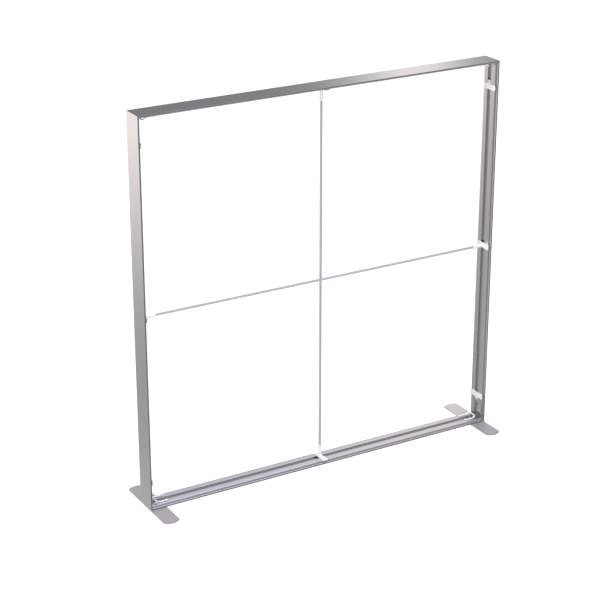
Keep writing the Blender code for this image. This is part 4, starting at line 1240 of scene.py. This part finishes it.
def studio_world():
    """Surroundings that the metal reflects, an even light on all else and a plain backdrop."""
    world = bpy.data.worlds.new("studio")
    bpy.context.scene.world = world
    world.use_nodes = True
    nodes = world.node_tree.nodes
    links = world.node_tree.links
    nodes.clear()
    output = nodes.new("ShaderNodeOutputWorld")
    background = nodes.new("ShaderNodeBackground")
    links.new(background.outputs[0], output.inputs["Surface"])
    place = nodes.new("ShaderNodeTexCoord")
    split = nodes.new("ShaderNodeSeparateXYZ")
    links.new(place.outputs["Generated"], split.inputs[0])
    x, y, z = split.outputs
    azimuth = math_node(nodes, links, "ARCTAN2", x, y)
    height = math_node(nodes, links, "ARCSINE", z)

    def along(angle, limits, smooth=False):
        low, high = (math.radians(limit) for limit in limits)
        return scaled(nodes, links, angle, low, high, smooth)

    def ramp(value, stops):
        return coloured(nodes, links, value, stops)

    def joined(share, first, second):
        return mixed(nodes, links, share, first, second)

    def across(angle, edge, first, second):
        return joined(along(angle, edge, smooth=True), first, second)

    turn = along(azimuth, BACK_TURN)
    drop = along(height, BACK_DROP)
    deep = along(height, FRONT_DROP)

    lifted = across(height, BACK_RISE_EDGE, ramp(turn, BACK_LOW), ramp(turn, BACK_HIGH))
    back_up = across(azimuth, BACK_LEFT_EDGE, BACK_LEFT, lifted)
    sweep = across(azimuth, BACK_FAR_EDGE, ramp(drop, BACK_DOWN_FAR), ramp(drop, BACK_DOWN_NEAR))
    sweep = across(azimuth, SIDE_LEFT_EDGE, SIDE_LEFT, sweep)
    back = across(height, BACK_LEVEL_EDGE, sweep, back_up)

    low_front = across(azimuth, FRONT_LOW_EDGE, ramp(deep, FRONT_LOW_WARM), ramp(deep, FRONT_LOW_COOL))
    high_front = across(azimuth, FRONT_HIGH_EDGE, FRONT_HIGH_WARM, FRONT_HIGH_COOL)
    leftward = scaled(nodes, links, x, *FRONT_LEFT_EDGE, smooth=True)
    low_front = joined(leftward, low_front, ramp(deep, FRONT_LEFT))
    front = across(height, FRONT_RISE_EDGE, low_front, high_front)
    backward = scaled(nodes, links, y, *FRONT_BACK_EDGE, smooth=True)
    around = joined(backward, front, back)

    ring = ramp(scaled(nodes, links, azimuth, 0.0, math.pi), HIGH_RING)
    surround = across(height, HIGH_RING_EDGE, around, ring)
    bright = nodes.new("ShaderNodeVectorMath")
    bright.operation = "SCALE"
    bright.inputs["Scale"].default_value = REFLECTED_STRENGTH
    links.new(surround, bright.inputs[0])
    ray = nodes.new("ShaderNodeLightPath")
    lit = joined(ray.outputs["Is Diffuse Ray"], bright.outputs[0], AMBIENT)
    seen = joined(ray.outputs["Is Camera Ray"], lit, BACKDROP)
    links.new(seen, background.inputs["Color"])


def soft_light(name, place, target, size, power, colour, spread):
    """Square softbox that faces its target and stays out of the metal's reflections."""
    light = bpy.data.lights.new(name, "AREA")
    light.size = size
    light.energy = power
    light.color = colour
    light.spread = math.radians(spread)
    item = bpy.data.objects.new(name, light)
    bpy.context.scene.collection.objects.link(item)
    item.location = place
    item.rotation_euler = (Vector(target) - Vector(place)).to_track_quat("-Z", "Y").to_euler()
    item.visible_glossy = False
    item.visible_camera = False


def studio_lights():
    for name, settings in SOFTBOXES.items():
        soft_light(name, *settings)


def studio_floor():
    bpy.ops.mesh.primitive_plane_add(size=FLOOR_SIZE, location=(0, 0, -FLOOR_DROP))
    floor = bpy.context.object
    floor.name = "studio_floor"
    material, nodes, links = new_material("floor_paper")
    shader = nodes["Principled BSDF"]
    grain = placed_group(nodes, links, FINE_GRAIN, Scale=FLOOR_GRAIN, Clouds=FLOOR_CLOUDS)
    links.new(ranged(nodes, links, grain.outputs["Cloud"], *FLOOR_ROUGHNESS), shader.inputs["Roughness"])
    shader.inputs["Base Color"].default_value = (*FLOOR_TONE, 1)
    shader.inputs["Specular IOR Level"].default_value = 0.0
    shader.inputs["Emission Color"].default_value = (1, 1, 1, 1)
    ray = nodes.new("ShaderNodeLightPath")
    glow = ranged(nodes, links, ray.outputs["Is Camera Ray"], FLOOR_GLOW, FLOOR_GLOW_SEEN)
    links.new(glow, shader.inputs["Emission Strength"])
    floor.data.materials.append(material)
    floor.visible_glossy = False


def aim_camera():
    camera = bpy.data.cameras.new("camera")
    camera.lens = CAMERA_LENS
    camera.sensor_width = SENSOR_WIDTH
    camera.clip_end = CAMERA_REACH
    item = bpy.data.objects.new("camera", camera)
    bpy.context.scene.collection.objects.link(item)
    item.location = CAMERA_PLACE
    turn = Matrix.Rotation(CAMERA_YAW, 4, "Z") @ Matrix.Rotation(math.pi / 2 + CAMERA_PITCH, 4, "X")
    item.rotation_euler = turn.to_euler()
    bpy.context.scene.camera = item


make_profiles()
make_bails()
make_end_clips()
make_bars()
make_feet()
make_brace_screws()
finish_braces()
studio_world()
studio_lights()
studio_floor()
aim_camera()
bpy.context.scene.view_settings.view_transform = "Standard"
